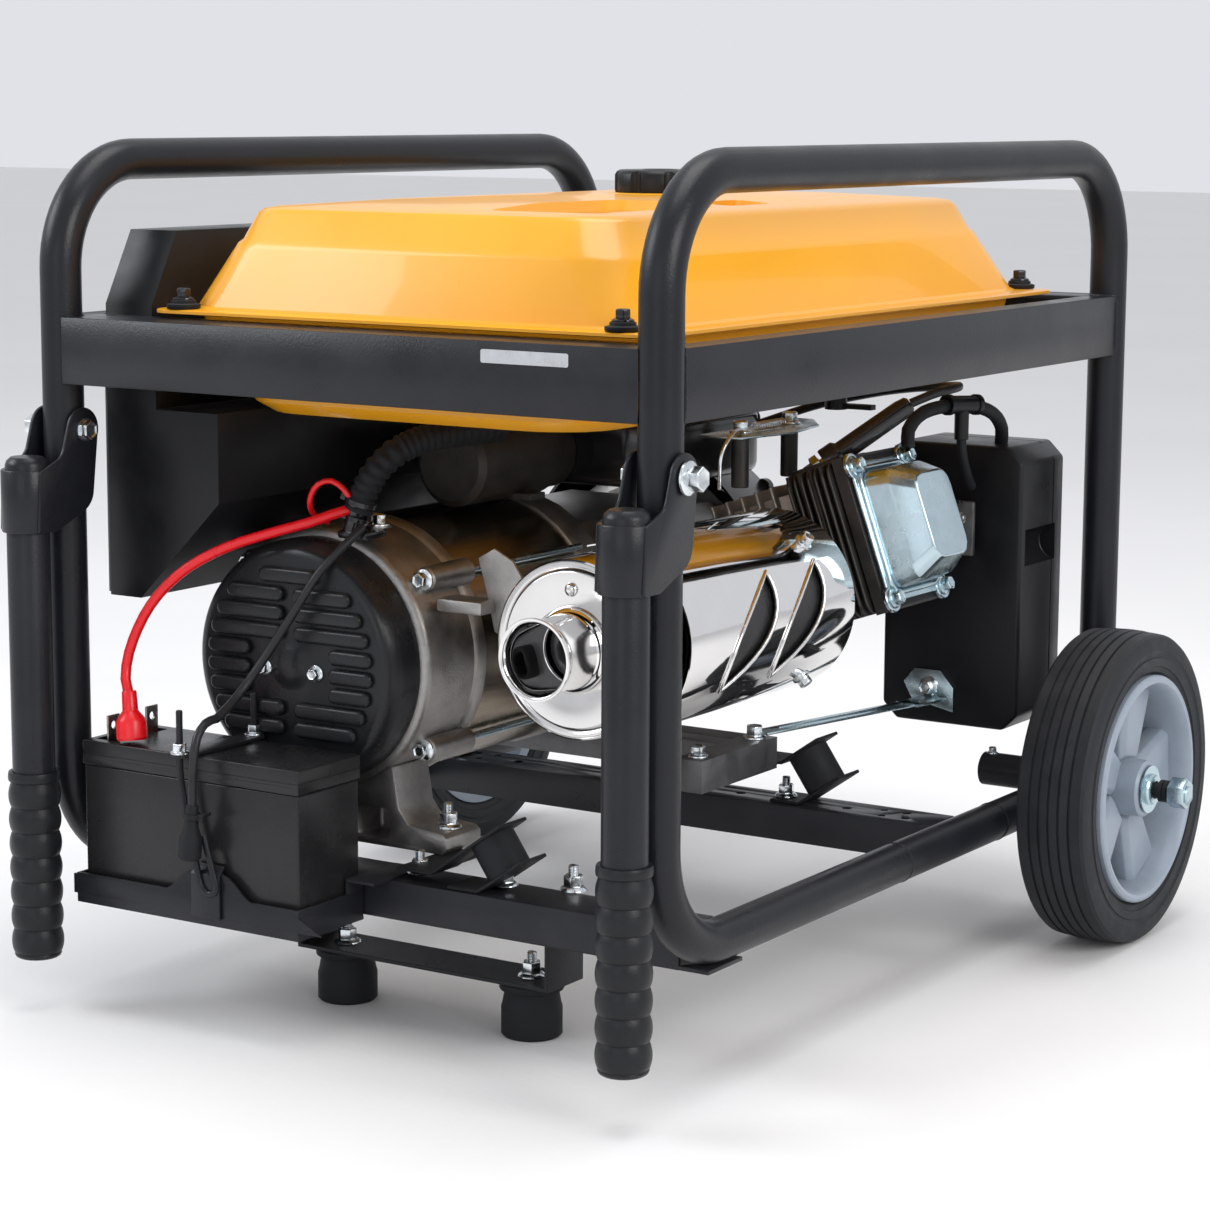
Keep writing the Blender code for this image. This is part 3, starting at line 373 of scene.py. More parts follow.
# ---- finishes ----
def wire_up(material):
    nodes = material.node_tree.nodes
    links = material.node_tree.links

    def add(kind, **inputs):
        node = nodes.new(kind)
        for key, value in inputs.items():
            node.inputs[key.replace("_", " ")].default_value = value
        return node

    return nodes["Principled BSDF"], add, links.new


def surface(name, colour, roughness, metallic=0.0, coat=0.0, mottle=0.12, mottle_size=0.03,
        rough_spread=0.2, grain=0.0, grain_size=0.001, stretch=(1, 1, 1), worn=None, worn_share=0.5,
        dust=0.0, gloss=0.5):
    """One finish: clouded colour and roughness, a fine grain in relief, dust on top and worn edges."""
    material = bpy.data.materials.new(name)
    material.use_nodes = True
    shader, add, link = wire_up(material)
    shader.inputs["Metallic"].default_value = metallic
    shader.inputs["Specular IOR Level"].default_value = gloss
    shader.inputs["Coat Weight"].default_value = coat
    shader.inputs["Coat Roughness"].default_value = 0.05
    place = add("ShaderNodeTexCoord")
    mapping = add("ShaderNodeMapping", Scale=stretch)
    link(place.outputs["Object"], mapping.inputs["Vector"])
    cloud = add("ShaderNodeTexNoise", Scale=1 / mottle_size, Detail=5.0, Roughness=0.6)
    link(mapping.outputs["Vector"], cloud.inputs["Vector"])
    shades = add("ShaderNodeValToRGB")
    shades.color_ramp.elements[0].position = 0.3
    shades.color_ramp.elements[1].position = 0.7
    shades.color_ramp.elements[0].color = (*[c * (1 - mottle) for c in colour], 1)
    shades.color_ramp.elements[1].color = (*[min(1, c * (1 + mottle)) for c in colour], 1)
    link(cloud.outputs["Fac"], shades.inputs["Fac"])
    colour_out = shades.outputs["Color"]
    rough = add("ShaderNodeMapRange")
    rough.inputs["From Min"].default_value = 0.3
    rough.inputs["From Max"].default_value = 0.7
    rough.inputs["To Min"].default_value = roughness * (1 - rough_spread)
    rough.inputs["To Max"].default_value = min(1.0, roughness * (1 + rough_spread))
    link(cloud.outputs["Fac"], rough.inputs["Value"])
    link(rough.outputs["Result"], shader.inputs["Roughness"])
    if dust:
        colour_out = dusted(add, link, cloud, colour_out, dust)
    if worn:
        colour_out = edge_worn(add, link, cloud, colour_out, worn, worn_share)
    link(colour_out, shader.inputs["Base Color"])
    if grain:
        fine = add("ShaderNodeTexNoise", Scale=1 / grain_size, Detail=3.0)
        link(mapping.outputs["Vector"], fine.inputs["Vector"])
        relief = add("ShaderNodeBump", Strength=0.6, Distance=grain)
        link(fine.outputs["Fac"], relief.inputs["Height"])
        link(relief.outputs["Normal"], shader.inputs["Normal"])
    return material


def mixed(add, link, share, low, high):
    mix = add("ShaderNodeMix")
    mix.data_type = "RGBA"
    link(share, mix.inputs["Factor"])
    link(low, mix.inputs["A"])
    mix.inputs["B"].default_value = (*high, 1)
    return mix.outputs["Result"]


def dusted(add, link, cloud, colour, amount):
    """A little pale dust on the faces that look up."""
    facing = add("ShaderNodeNewGeometry")
    split = add("ShaderNodeSeparateXYZ")
    link(facing.outputs["Normal"], split.inputs["Vector"])
    up = add("ShaderNodeMapRange")
    up.inputs["From Min"].default_value = 0.5
    up.inputs["To Max"].default_value = amount
    link(split.outputs["Z"], up.inputs["Value"])
    patchy = add("ShaderNodeMath")
    patchy.operation = "MULTIPLY"
    link(up.outputs["Result"], patchy.inputs[0])
    link(cloud.outputs["Fac"], patchy.inputs[1])
    return mixed(add, link, patchy.outputs["Value"], colour, (0.42, 0.39, 0.35))


def edge_worn(add, link, cloud, colour, worn, share):
    """Lighter, rubbed paint along sharp outer edges."""
    shape = add("ShaderNodeNewGeometry")
    edge = add("ShaderNodeMapRange")
    edge.inputs["From Min"].default_value = 0.52
    edge.inputs["From Max"].default_value = 0.62
    edge.inputs["To Max"].default_value = share
    link(shape.outputs["Pointiness"], edge.inputs["Value"])
    patchy = add("ShaderNodeMath")
    patchy.operation = "MULTIPLY"
    link(edge.outputs["Result"], patchy.inputs[0])
    link(cloud.outputs["Fac"], patchy.inputs[1])
    return mixed(add, link, patchy.outputs["Value"], colour, worn)


def painted_slot_shade():
    """A near-black sheet round the muffler sleeve, seen through the shield's slots: painted shade in the
    slots.
    """
    return surface("painted_slot_shade_black", (0.012, 0.012, 0.013), 0.45, mottle=0.35, mottle_size=0.006,
        grain=0.0006, grain_size=0.002)


def satin_black():
    """Black powder coat with a faint orange-peel relief."""
    return surface("satin_black_powder_coat", (0.0095, 0.0105, 0.0135), 0.33, mottle=0.1, mottle_size=0.05,
        grain=0.00025, grain_size=0.0016, worn=(0.05, 0.05, 0.056), worn_share=0.5, dust=0.03, gloss=0.26)


def tank_paint(colour):
    """Gloss enamel under a clear coat."""
    return surface("golden_yellow_enamel", colour, 0.34, coat=0.3, mottle=0.035, mottle_size=0.12,
        grain=0.00006, grain_size=0.004, rough_spread=0.15)


def bright_chrome():
    """Polished chrome with light smears."""
    return surface("bright_chrome", (0.8, 0.79, 0.78), 0.055, metallic=1.0, mottle=0.03, mottle_size=0.05,
        rough_spread=0.6, grain=0.00008, grain_size=0.03)


def pale_chrome():
    """The muffler's flat cap, a little duller than the sleeve."""
    return surface("satin_chrome", (0.7, 0.69, 0.68), 0.16, metallic=1.0, mottle=0.05, mottle_size=0.03)


def blue_zinc(name="blue_zinc_plate", roughness=0.24):
    """Bright zinc plate with a cold blue passivation."""
    return surface(name, (0.5, 0.62, 0.67), roughness, metallic=1.0, mottle=0.12, mottle_size=0.03,
        rough_spread=0.35, grain=0.00012, grain_size=0.0012)


def bright_zinc():
    return surface("bright_zinc_fasteners", (0.7, 0.74, 0.76), 0.2, metallic=1.0, mottle=0.14,
        mottle_size=0.006, rough_spread=0.4, grain=0.0001, grain_size=0.0007)


def cast_aluminium():
    """Raw casting: a dull, slightly warm grey with a sandy skin."""
    return surface("raw_cast_aluminium", (0.36, 0.345, 0.33), 0.42, metallic=0.92, mottle=0.22,
        mottle_size=0.02, grain=0.00045, grain_size=0.0016)


def dark_casting():
    return surface("dark_engine_casting", (0.06, 0.056, 0.053), 0.5, metallic=0.7, mottle=0.25,
        mottle_size=0.02, grain=0.0006, grain_size=0.0018)


def steel_with_painted_reflection():
    """Bright rolled steel sheet whose warm brown colour is a painted reflection of warm surroundings."""
    return surface("steel_sleeve_painted_warm_reflection", (0.52, 0.43, 0.33), 0.16, metallic=1.0, mottle=0.18,
        mottle_size=0.05, grain=0.0001, grain_size=0.002, stretch=(1, 9, 9))


def oiled_steel():
    return surface("oiled_steel", (0.17, 0.17, 0.175), 0.42, metallic=0.85, mottle=0.2, mottle_size=0.02,
        grain=0.0003, grain_size=0.002, dust=0.15)


def soft_rubber():
    return surface("matt_black_rubber", (0.011, 0.012, 0.014), 0.58, mottle=0.2, mottle_size=0.012,
        grain=0.0003, grain_size=0.0012, dust=0.06, gloss=0.2)


def tyre_rubber():
    """Solid tyre rubber, grey with a bloom and a dusting on top."""
    return surface("solid_tyre_rubber", (0.014, 0.016, 0.019), 0.55, mottle=0.22, mottle_size=0.02,
        grain=0.0005, grain_size=0.0013, worn=(0.045, 0.048, 0.052), worn_share=0.6, dust=0.06, gloss=0.22)


def grip_rubber():
    return surface("grip_rubber", (0.01, 0.011, 0.013), 0.38, mottle=0.18, mottle_size=0.01, grain=0.0002,
        grain_size=0.001, gloss=0.26)


def black_plastic():
    """Moulded polypropylene with a fine spark texture."""
    return surface("black_moulded_plastic", (0.007, 0.0075, 0.009), 0.34, mottle=0.15, mottle_size=0.03,
        grain=0.00018, grain_size=0.0009, dust=0.03, gloss=0.26)


def gloss_plastic():
    return surface("gloss_black_plastic", (0.012, 0.012, 0.014), 0.16, mottle=0.15, mottle_size=0.04,
        grain=0.00008, grain_size=0.003)


def louvre_paint():
    """Stove-black enamel on pressed sheet, a shade lighter than the frame."""
    return surface("end_cover_enamel", (0.012, 0.013, 0.015), 0.3, mottle=0.12, mottle_size=0.03,
        grain=0.0002, grain_size=0.0016, dust=0.04, gloss=0.3)


def wheel_plastic(colour):
    return surface("blue_grey_wheel_plastic", colour, 0.36, mottle=0.07, mottle_size=0.02, grain=0.0002,
        grain_size=0.0014, dust=0.1)


def panel_grey():
    return surface("control_panel_grey", (0.085, 0.087, 0.092), 0.42, mottle=0.08, mottle_size=0.03,
        grain=0.0002, grain_size=0.001, gloss=0.3)


def red_insulation(colour):
    return surface("red_insulation", colour, 0.3, mottle=0.07, mottle_size=0.01, grain=0.00008,
        grain_size=0.001)


def black_insulation():
    return surface("black_insulation", (0.017, 0.017, 0.019), 0.34, mottle=0.15, mottle_size=0.01,
        grain=0.0001, grain_size=0.001, gloss=0.3)


def battery_plastic():
    return surface("battery_case_plastic", (0.016, 0.0155, 0.0165), 0.27, mottle=0.14, mottle_size=0.04,
        grain=0.00012, grain_size=0.0012, gloss=0.3)


def lead_terminal():
    return surface("tinned_terminal", (0.5, 0.48, 0.45), 0.32, metallic=1.0, mottle=0.25, mottle_size=0.004,
        grain=0.0003, grain_size=0.0008)


def wound_copper():
    return surface("varnished_windings", (0.4, 0.17, 0.07), 0.35, metallic=0.7, mottle=0.3,
        mottle_size=0.01, stretch=(1, 6, 6), grain=0.0006, grain_size=0.001)


def printed_plate():
    return surface("blank_metal_plate", (0.55, 0.56, 0.58), 0.3, metallic=0.6, mottle=0.06, mottle_size=0.01)


def gauge_glass():
    return surface("dark_gauge_window", (0.01, 0.01, 0.012), 0.07, coat=0.5, mottle=0.2, mottle_size=0.03)


FINISH = {}


def prepare_finishes(colours):
    """Makes every finish once."""
    plain = {"tube": satin_black, "chrome": bright_chrome, "cap_chrome": pale_chrome, "zinc": blue_zinc,
        "bolt": bright_zinc, "casting": cast_aluminium, "dark_casting": dark_casting,
        "sleeve": steel_with_painted_reflection, "steel": oiled_steel, "rubber": soft_rubber, "tyre": tyre_rubber,
        "grip": grip_rubber, "plastic": black_plastic, "gloss": gloss_plastic, "louvre": louvre_paint,
        "panel": panel_grey, "black_wire": black_insulation, "battery": battery_plastic,
        "terminal": lead_terminal, "copper": wound_copper, "plate": printed_plate, "glass": gauge_glass,
        "slot_shade": painted_slot_shade,}
    for key, make in plain.items():
        FINISH[key] = make()
    FINISH["tank"] = tank_paint(colours.tank)
    FINISH["wheel"] = wheel_plastic(colours.wheel)
    FINISH["red"] = red_insulation(colours.red)


# ---- fasteners ----
def hex_head(across, height):
    """A hexagon with chamfered corners and a shallow ring on top."""
    bpy.ops.object.select_all(action="DESELECT")
    bpy.ops.mesh.primitive_cylinder_add(vertices=6, radius=across / 2 / cos(pi / 6), depth=height,
        location=(0, 0, height / 2))
    head = named("hex")
    bpy.ops.object.transform_apply(location=True, rotation=True, scale=True)
    with editing(head) as mesh:
        pick_faces(mesh, head, lambda place, normal: normal.z > 0.9)
        bpy.ops.mesh.inset(thickness=across * 0.07)
        bpy.ops.transform.translate(value=(0, 0, height * 0.1))
        bpy.ops.mesh.inset(thickness=across * 0.12)
        bpy.ops.transform.translate(value=(0, 0, -height * 0.14))
    return rounded(head, across * 0.025, 2, 25)


def bolt_shape():
    """A flange bolt: a turned washer face under a hexagon head. It is 1 across the flats."""
    flange = turned([(0, 0), (0.78, 0), (0.8, 0.03), (0.78, 0.12), (0.6, 0.22), (0, 0.24)], (0, 0, 0),
        (0, 0, 1), 20)
    head = hex_head(1.0, 0.62)
    head.data.transform(Matrix.Translation((0, 0, 0.17)))
    return joined("bolt_shape", [flange, head])


def nut_shape():
    """A flange nut with the end of its threaded stud."""
    flange = turned([(0, 0), (0.8, 0), (0.82, 0.03), (0.78, 0.12), (0.62, 0.24), (0, 0.26)], (0, 0, 0),
        (0, 0, 1), 20)
    head = hex_head(1.0, 0.66)
    head.data.transform(Matrix.Translation((0, 0, 0.18)))
    thread = [(0, 0.6)]
    for k in range(9):
        thread += [(0.27, 0.62 + 0.09 * k), (0.31, 0.66 + 0.09 * k)]
    thread += [(0.25, 1.46), (0, 1.48)]
    stud = turned(thread, (0, 0, 0), (0, 0, 1), 14, angle=60)
    return joined("nut_shape", [flange, head, stud])


def screw_shape():
    """A small pan-head screw with a cross recess, 1 across."""
    head = turned([(0, 0), (0.5, 0), (0.5, 0.12), (0.4, 0.28), (0.22, 0.36), (0, 0.38)], (0, 0, 0),
        (0, 0, 1), 20)
    for wide, deep in ((0.62, 0.1), (0.1, 0.62)):
        cut(head, block((-wide / 2, -deep / 2, 0.24), (wide / 2, deep / 2, 0.5)))
    return head


def rivet_shape():
    dome = [(0, 0), (0.5, 0), (0.5, 0.05)] + [(0.5 * cos(a), 0.05 + 0.32 * sin(a))
        for a in (0.4, 0.8, 1.2)] + [(0, 0.37)]
    return turned(dome, (0, 0, 0), (0, 0, 1), 20)


SHAPES = {}


def fasteners(name, kind, spots, body, finish="bolt", slot="zinc_steel"):
    """One object of like fasteners. Each spot is (place, the way it faces, its width)."""
    makers = {"bolt": bolt_shape, "nut": nut_shape, "screw": screw_shape, "rivet": rivet_shape}
    if kind not in SHAPES:
        SHAPES[kind] = makers[kind]()
        SHAPES[kind].name = kind + "_pattern"
    pattern = SHAPES[kind]
    twins = []
    for index, (place, axis, width) in enumerate(spots):
        turn = Vector((0, 0, 1)).rotation_difference(Vector(axis).normalized()).to_matrix().to_4x4()
        spin = Matrix.Rotation(0.4 * index, 4, "Z")
        twins.append(copied(pattern, Matrix.Translation(place) @ turn @ spin @ Matrix.Scale(width, 4)))
    return fitted(twins, name, finish, body, slot=slot)


def drop_patterns():
    for pattern in SHAPES.values():
        bpy.data.objects.remove(pattern)
    SHAPES.clear()


def weld_bead(points, radius, seed):
    """A rippled bead along points."""
    swell = [0.85 + 0.3 * noise.noise(Vector((seed, 0.9 * k, 0))) + 0.16 * (k % 2)
        for k in range(len(points))]
    swell[0] = swell[-1] = 0.5
    return solid_tube(points, radius, 2, swell=swell)


# ---- frame ----
def loop_path(side, z_low=RAIL_LOW_Z, z_top=RAIL_TOP_Z, steps=15):
    corners = [(LOOP_X - BEND_R, z_low + BEND_R, -90), (LOOP_X - BEND_R, z_top - BEND_R, 0),
        (-LOOP_X + BEND_R, z_top - BEND_R, 90), (-LOOP_X + BEND_R, z_low + BEND_R, 180)]
    points = []
    for x, z, start in corners:
        for u, v in arc((x, z), BEND_R, start, start + 90, steps):
            points.append(at(u, side * LOOP_Y, v))
    return points


def make_frame_tubes():
    for name, side in SIDES:
        loop = solid_tube(loop_path(side), TUBE_R, 10, cyclic=True)
        for x in (0.152, -0.01):
            seam = solid_tube([at(x, side * LOOP_Y + (TUBE_R - 0.0004) * cos(a),
                RAIL_LOW_Z + (TUBE_R - 0.0004) * sin(a)) for a in [tau * k / 36 for k in range(36)]],
                0.0009, 2, cyclic=True)
            loop = joined("loop", [loop, seam])
        fitted(loop, f"frame_tube_{name}", "tube", "frame", f"frame_loop_{name}")
        beads = []
        face = 0.012
        reach = sqrt(TUBE_R**2 - face**2)
        for x in (-LOOP_X, LOOP_X):
            inward = -copysign(1, x)
            for index, z in enumerate((BAR_LOW_Z, BAR_TOP_Z)):
                start = degrees(asin(face / TUBE_R))
                ring = [(x + inward * (TUBE_R + 0.0004) * cos(radians(a)),
                    side * (LOOP_Y + (TUBE_R + 0.0004) * sin(radians(a))))
                    for a in range(int(start) - 100, int(start), 8)]
                beads.append(weld_bead([at(u, v, z) for u, v in ring], 0.0014, 3 * x + index))
            edge = [at(x + inward * (reach + 0.0005), side * (LOOP_Y + face),
                BAR_LOW_Z + 0.002 + 0.0027 * k) for k in range(17)]
            beads.append(weld_bead(edge, 0.0016, 7 * x + side))
        fitted(beads, f"rail_welds_{name}", "tube", "frame")


def make_rails():
    """The tank rails, cross members and foot bracket, with their edges broken."""
    for node in ("tank_rail_left", "tank_rail_right", "battery_end_rail", "engine_end_rail"):
        fitted(softened(node, 0.0009, 2), node + "_sheet", "tube", "frame", node)
    for node in ("front_cross_member", "rear_cross_member", "foot_bracket"):
        fitted(softened(node, 0.0005, 2), node + "_sheet", "tube", "frame", node)
    low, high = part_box("foot_bracket")
    member_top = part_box("front_cross_member")[1].z
    spots = []
    for name, _ in SIDES:
        foot = middle(f"foot_{name}")
        spots.append((Vector((foot.x, foot.y, low.z + 0.003)), (0, 0, 1), 0.0125))
    for y in (low.y + 0.007, high.y - 0.007):
        spots.append((Vector((middle("foot_bracket").x - 0.004, y, member_top)), (0, 0, 1), 0.0125))
    fasteners("foot_stud_nuts", "nut", spots, "frame")
    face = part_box("battery_end_rail")[0].x
    label = prism(rounded_corners(-0.192, -0.123, 0.493, 0.502, 0.0015), "X", face - 0.0002, face)
    fitted(rounded(label, 0.00005, 1), "blank_rail_plate", "plate", "frame")


def rounded_corners(x0, x1, y0, y1, radius, steps=4):
    points = []
    for cx, cy, start in ((x1 - radius, y0 + radius, -90), (x1 - radius, y1 - radius, 0),
            (x0 + radius, y1 - radius, 90), (x0 + radius, y0 + radius, 180)):
        points += arc((cx, cy), radius, start, start + 90, steps)
    return points


def make_feet():
    for name, _ in SIDES:
        spot = middle(f"foot_{name}")
        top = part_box(f"foot_{name}")[1].z
        profile = [(0, 0), (0.0205, 0), (0.0222, 0.0018), (0.0222, 0.021), (0.0212, 0.0245), (0.02, 0.031),
            (0.0205, 0.0335), (0.023, 0.0345), (0.0235, 0.0355), (0.0235, top - 0.0008), (0.0228, top),
            (0, top)]
        foot = turned(profile, (spot.x, spot.y, 0), (0, 0, 1), 48)
        fitted(foot, f"rubber_foot_{name}", "rubber", "frame", f"foot_{name}")


# ---- wheels ----
def make_wheels():
    for name, side in SIDES:
        body = f"wheel_{name}"
        out = (0, side, 0)
        centre = at(WHEEL_X, side * WHEEL_Y, WHEEL_R)
        fitted(tyre_shape(centre, out), f"solid_tyre_{name}", "tyre", body, f"tyre_{name}")
        rim = rim_shape(centre, out)
        fitted(rim, f"spoked_rim_{name}", "wheel", body, f"rim_{name}")
        hub = [turned([(0.0072, 0.0302), (0.019, 0.0302), (0.019, 0.0314), (0.0072, 0.0314)], centre, out,
            40, ring=True), turned([(0.0072, 0.0314), (0.0125, 0.0314), (0.0125, 0.033), (0.0112, 0.0345),
            (0.0112, 0.036), (0.0072, 0.036)], centre, out, 32, ring=True)]
        fitted(hub, f"hub_washers_{name}", "zinc", body)
        make_axle(name, side)


def tyre_shape(centre, out):
    half = 0.029
    lip = 0.0913
    groove = 0.0016
    tread = [(0.1215, -half + 0.0012), (0.1232, -half + 0.0035)]
    edges = [-0.0165, -0.0082, 0.0, 0.0082, 0.0165]
    for y in edges:
        crown = WHEEL_R - 0.0016 * (abs(y) / 0.02) ** 2
        tread += [(crown, y - 0.0013), (crown - groove, y - 0.0007), (crown - groove, y + 0.0005),
            (crown, y + 0.0011)]
    tread += [(0.1232, half - 0.0035), (0.1215, half - 0.0012)]
    low_wall = [(lip, -half + 0.0045), (0.0935, -half + 0.0025), (0.0975, -half + 0.0015),
        (0.098, -half + 0.0006), (0.1045, -half), (0.105, -half + 0.0008), (0.1085, -half + 0.0006),
        (0.11, -half - 0.0002), (0.117, -half)]
    high_wall = [(r, -y) for r, y in reversed(low_wall)]
    return turned(low_wall + tread + high_wall, centre, out, 96, ring=True, angle=28)


def rim_shape(centre, out):
    """A moulded rim: a dished barrel, five broad spokes ridged down the middle, and a hub."""
    barrel = turned([(0.0885, -0.0265), (0.091, -0.0265), (0.091, 0.0285), (0.09, 0.03), (0.0875, 0.0312),
        (0.085, 0.0306), (0.0832, 0.0285), (0.0812, 0.02), (0.08, 0.005), (0.08, -0.01), (0.0815, -0.0245)],
        (0, 0, 0), (0, 0, 1), 96, ring=True, angle=30)
    hub = turned([(0.0072, -0.03), (0.0195, -0.03), (0.021, -0.028), (0.0235, 0.0), (0.0225, 0.027),
        (0.0205, 0.029), (0.0072, 0.029)], (0, 0, 0), (0, 0, 1), 64, ring=True)
    parts = [barrel, hub]
    for k in range(5):
        parts.append(spoke_shape(tau * (k + 0.1) / 5))
    return placed(joined("rim", parts), centre, out)


def spoke_shape(turn):
    """One spoke, wide at the rim, with a ridge along its middle and sloping flanks."""
    bpy.ops.object.select_all(action="DESELECT")
    bpy.ops.mesh.primitive_cube_add(size=1, location=(0.052, 0, 0.002), scale=(0.064, 0.03, 0.012))
    spoke = named("spoke")
    bpy.ops.object.transform_apply(location=True, rotation=True, scale=True)
    with editing(spoke) as mesh:
        pick_faces(mesh, spoke, lambda place, normal: normal.x > 0.9)
        bpy.ops.transform.resize(value=(1, 1.75, 1.15), center_override=(0.084, 0, 0.002))
        pick_faces(mesh, spoke, lambda place, normal: normal.z > 0.7)
        bpy.ops.mesh.inset(thickness=0.0045)
        bpy.ops.transform.translate(value=(0, 0, 0.0045))
        pick_faces(mesh, spoke, lambda place, normal: normal.z < -0.7)
        bpy.ops.mesh.inset(thickness=0.0045)
        bpy.ops.transform.translate(value=(0, 0, -0.004))
    rounded(spoke, 0.0012, 2, 20)
    spoke.matrix_world = Matrix.Rotation(turn, 4, "Z")
    chosen(spoke)
    bpy.ops.object.transform_apply(location=True, rotation=True, scale=True)
    return spoke


def make_axle(name, side):
    """The stub axle's tube, its spacer and bolt. The body follows the CAD axle's outline."""
    inner = at(WHEEL_X, side * 0.205, WHEEL_R)
    length = WHEEL_Y - 0.0335 - 0.205
    tip = 0.384 - 0.205
    profile = [(0, 0), (0.0112, 0), (0.0112, -0.0002), (0.0135, 0.001), (0.0135, length - 0.001),
        (0.0125, length), (0.0058, length), (0.0058, tip - 0.028), (0, tip - 0.028)]
    tube_part = turned(profile, inner, (0, side, 0), 48)
    saddle = rod(at(WHEEL_X - 0.05, side * LOOP_Y, RAIL_LOW_Z),
        at(WHEEL_X + 0.05, side * LOOP_Y, RAIL_LOW_Z), TUBE_R + 0.0003, 48)
    fitted(smooth(cut(tube_part, saddle)), f"axle_tube_{name}", "tube", "frame", f"axle_{name}")
    end = at(WHEEL_X, side * 0.384, WHEEL_R)
    way = Vector((0, side, 0))
    neck = turned([(0, -0.028), (0.0062, -0.028), (0.0062, -0.025), (0.0088, -0.024), (0.0088, -0.021),
        (0.0078, -0.0205), (0.0088, -0.0195), (0.0088, -0.0165), (0.0078, -0.016), (0.0078, -0.0145),
        (0, -0.0145)], end, way, 32)
    fitted(neck, f"axle_spacer_{name}", "rubber", "frame")
    nut = hex_head(0.0215, 0.0125)
    placed(nut, end - way * 0.0145, way)
    stub = rod(end - way * 0.004, end, 0.0064, 24, 0.001)
    fitted([nut, stub], f"axle_bolt_{name}", "zinc", "frame")
    fasteners(f"axle_tube_screw_{name}", "bolt",
        [(at(WHEEL_X, side * 0.2125, WHEEL_R + 0.013), (0, 0, 1), 0.006)], "frame")


# ---- folding handles ----
def make_handles():
    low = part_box("handle_grip_left")[0].z
    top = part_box("handle_grip_left")[1].z
    yoke_low = 0.355
    yoke_top = 0.4
    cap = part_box("handle_tube_left")[1].z
    r = 0.0155
    ribs = bpy.context.scene.generator_sizes.grip_ribs
    for name, side in SIDES:
        body = f"handle_{name}"
        base = at(HANDLE_X, side * LOOP_Y, 0)
        tube_part = turned([(0, low + 0.01), (r, low + 0.01), (r, cap - 0.0065), (r - 0.001, cap - 0.0035),
            (r - 0.004, cap - 0.0008), (0, cap)], base, (0, 0, 1), 56)
        fitted(tube_part, f"handle_bar_{name}", "tube", body, f"handle_tube_{name}")
        pitch = (top - low - 0.012) / ribs
        profile = [(0, low), (0.015, low), (0.0165, low + 0.001), (0.0172, low + 0.0025)]
        for k in range(ribs):
            z = low + 0.0035 + pitch * k
            profile.append((0.0168, z + 0.0004))
            for step in range(7):
                t = pi * (step + 0.5) / 7
                profile.append((0.0168 + 0.0022 * sin(t) ** 0.7, z + pitch * (step + 0.5) / 7))
        profile += [(0.017, top - 0.0075), (0.0187, top - 0.0065), (0.019, top - 0.0045),
            (0.0187, top - 0.001), (0.0183, top), (r + 0.0003, top), (r + 0.0003, top - 0.006),
            (0, top - 0.006)]
        grip = turned(profile, base, (0, 0, 1), 56, angle=40)
        fitted(grip, f"ribbed_grip_{name}", "grip", body, f"handle_grip_{name}")
        fitted(yoke_shape(side, yoke_low, yoke_top), f"handle_bracket_{name}", "tube", body,
            f"handle_yoke_{name}")
        pivot = at(-LOOP_X, side * LOOP_Y, PIVOT_Z)
        way = Vector((0, side, 0))
        spots = [(pivot + way * 0.0205, way, 0.0145)]
        fasteners(f"handle_pivot_bolt_{name}", "bolt", spots, body)
        inner = turned([(0, 0), (0.0085, 0), (0.0085, 0.0015), (0.004, 0.0015), (0.004, 0.006),
            (0, 0.0062)], pivot - way * 0.0195, -way, 32)
        hexagon = hex_head(0.0125, 0.0055)
        placed(hexagon, pivot - way * 0.0208, -way)
        fitted([inner, hexagon], f"handle_pivot_nut_{name}", "bolt", body)
        washer = turned([(0, 0.0191), (0.0106, 0.0191), (0.0106, 0.0204), (0, 0.0204)], pivot, way, 32)
        fitted(rounded(washer, 0.0003, 1), f"handle_pivot_washer_{name}", "rubber", body)


def yoke_shape(side, low, top):
    """A pressed bracket: a collar round the bar and two ears that reach the pivot."""
    y = side * LOOP_Y
    base = at(HANDLE_X, y, 0)
    collar = turned([(0.0158, low), (0.0182, low), (0.0187, low + 0.0008), (0.0187, top - 0.0008),
        (0.0182, top), (0.0158, top)], base, (0, 0, 1), 56, ring=True)
    parts = [collar]
    eye = 0.016
    outline = [(HANDLE_X - 0.0065, top - 0.001), (HANDLE_X - 0.0085, low + 0.001), (HANDLE_X - 0.006, low),
        (HANDLE_X + 0.011, low)]
    outline += arc((-LOOP_X - 0.006, top - 0.018), 0.016, -75, -10, 6)
    outline += arc((-LOOP_X, PIVOT_Z), eye, -20, 165, 16)
    outline += arc((-LOOP_X - 0.033, PIVOT_Z - 0.008), 0.013, -15, -70, 5)
    for face in (-1, 1):
        near, far = sorted((y + face * 0.0163, y + face * 0.0189))
        ear = prism([(x + FRAME_X, z) for x, z in outline], "Y", near, far)
        parts.append(rounded(ear, 0.0006, 2))
    return joined("yoke", parts)


# ---- tank ----
def tank_ring(x0, x1, y0, y1, corner, z, steps=5):
    """A rectangle with rounded corners at one height."""
    return [at(x, y, z) for x, y in rounded_corners(x0, x1, y0, y1, corner, steps)]


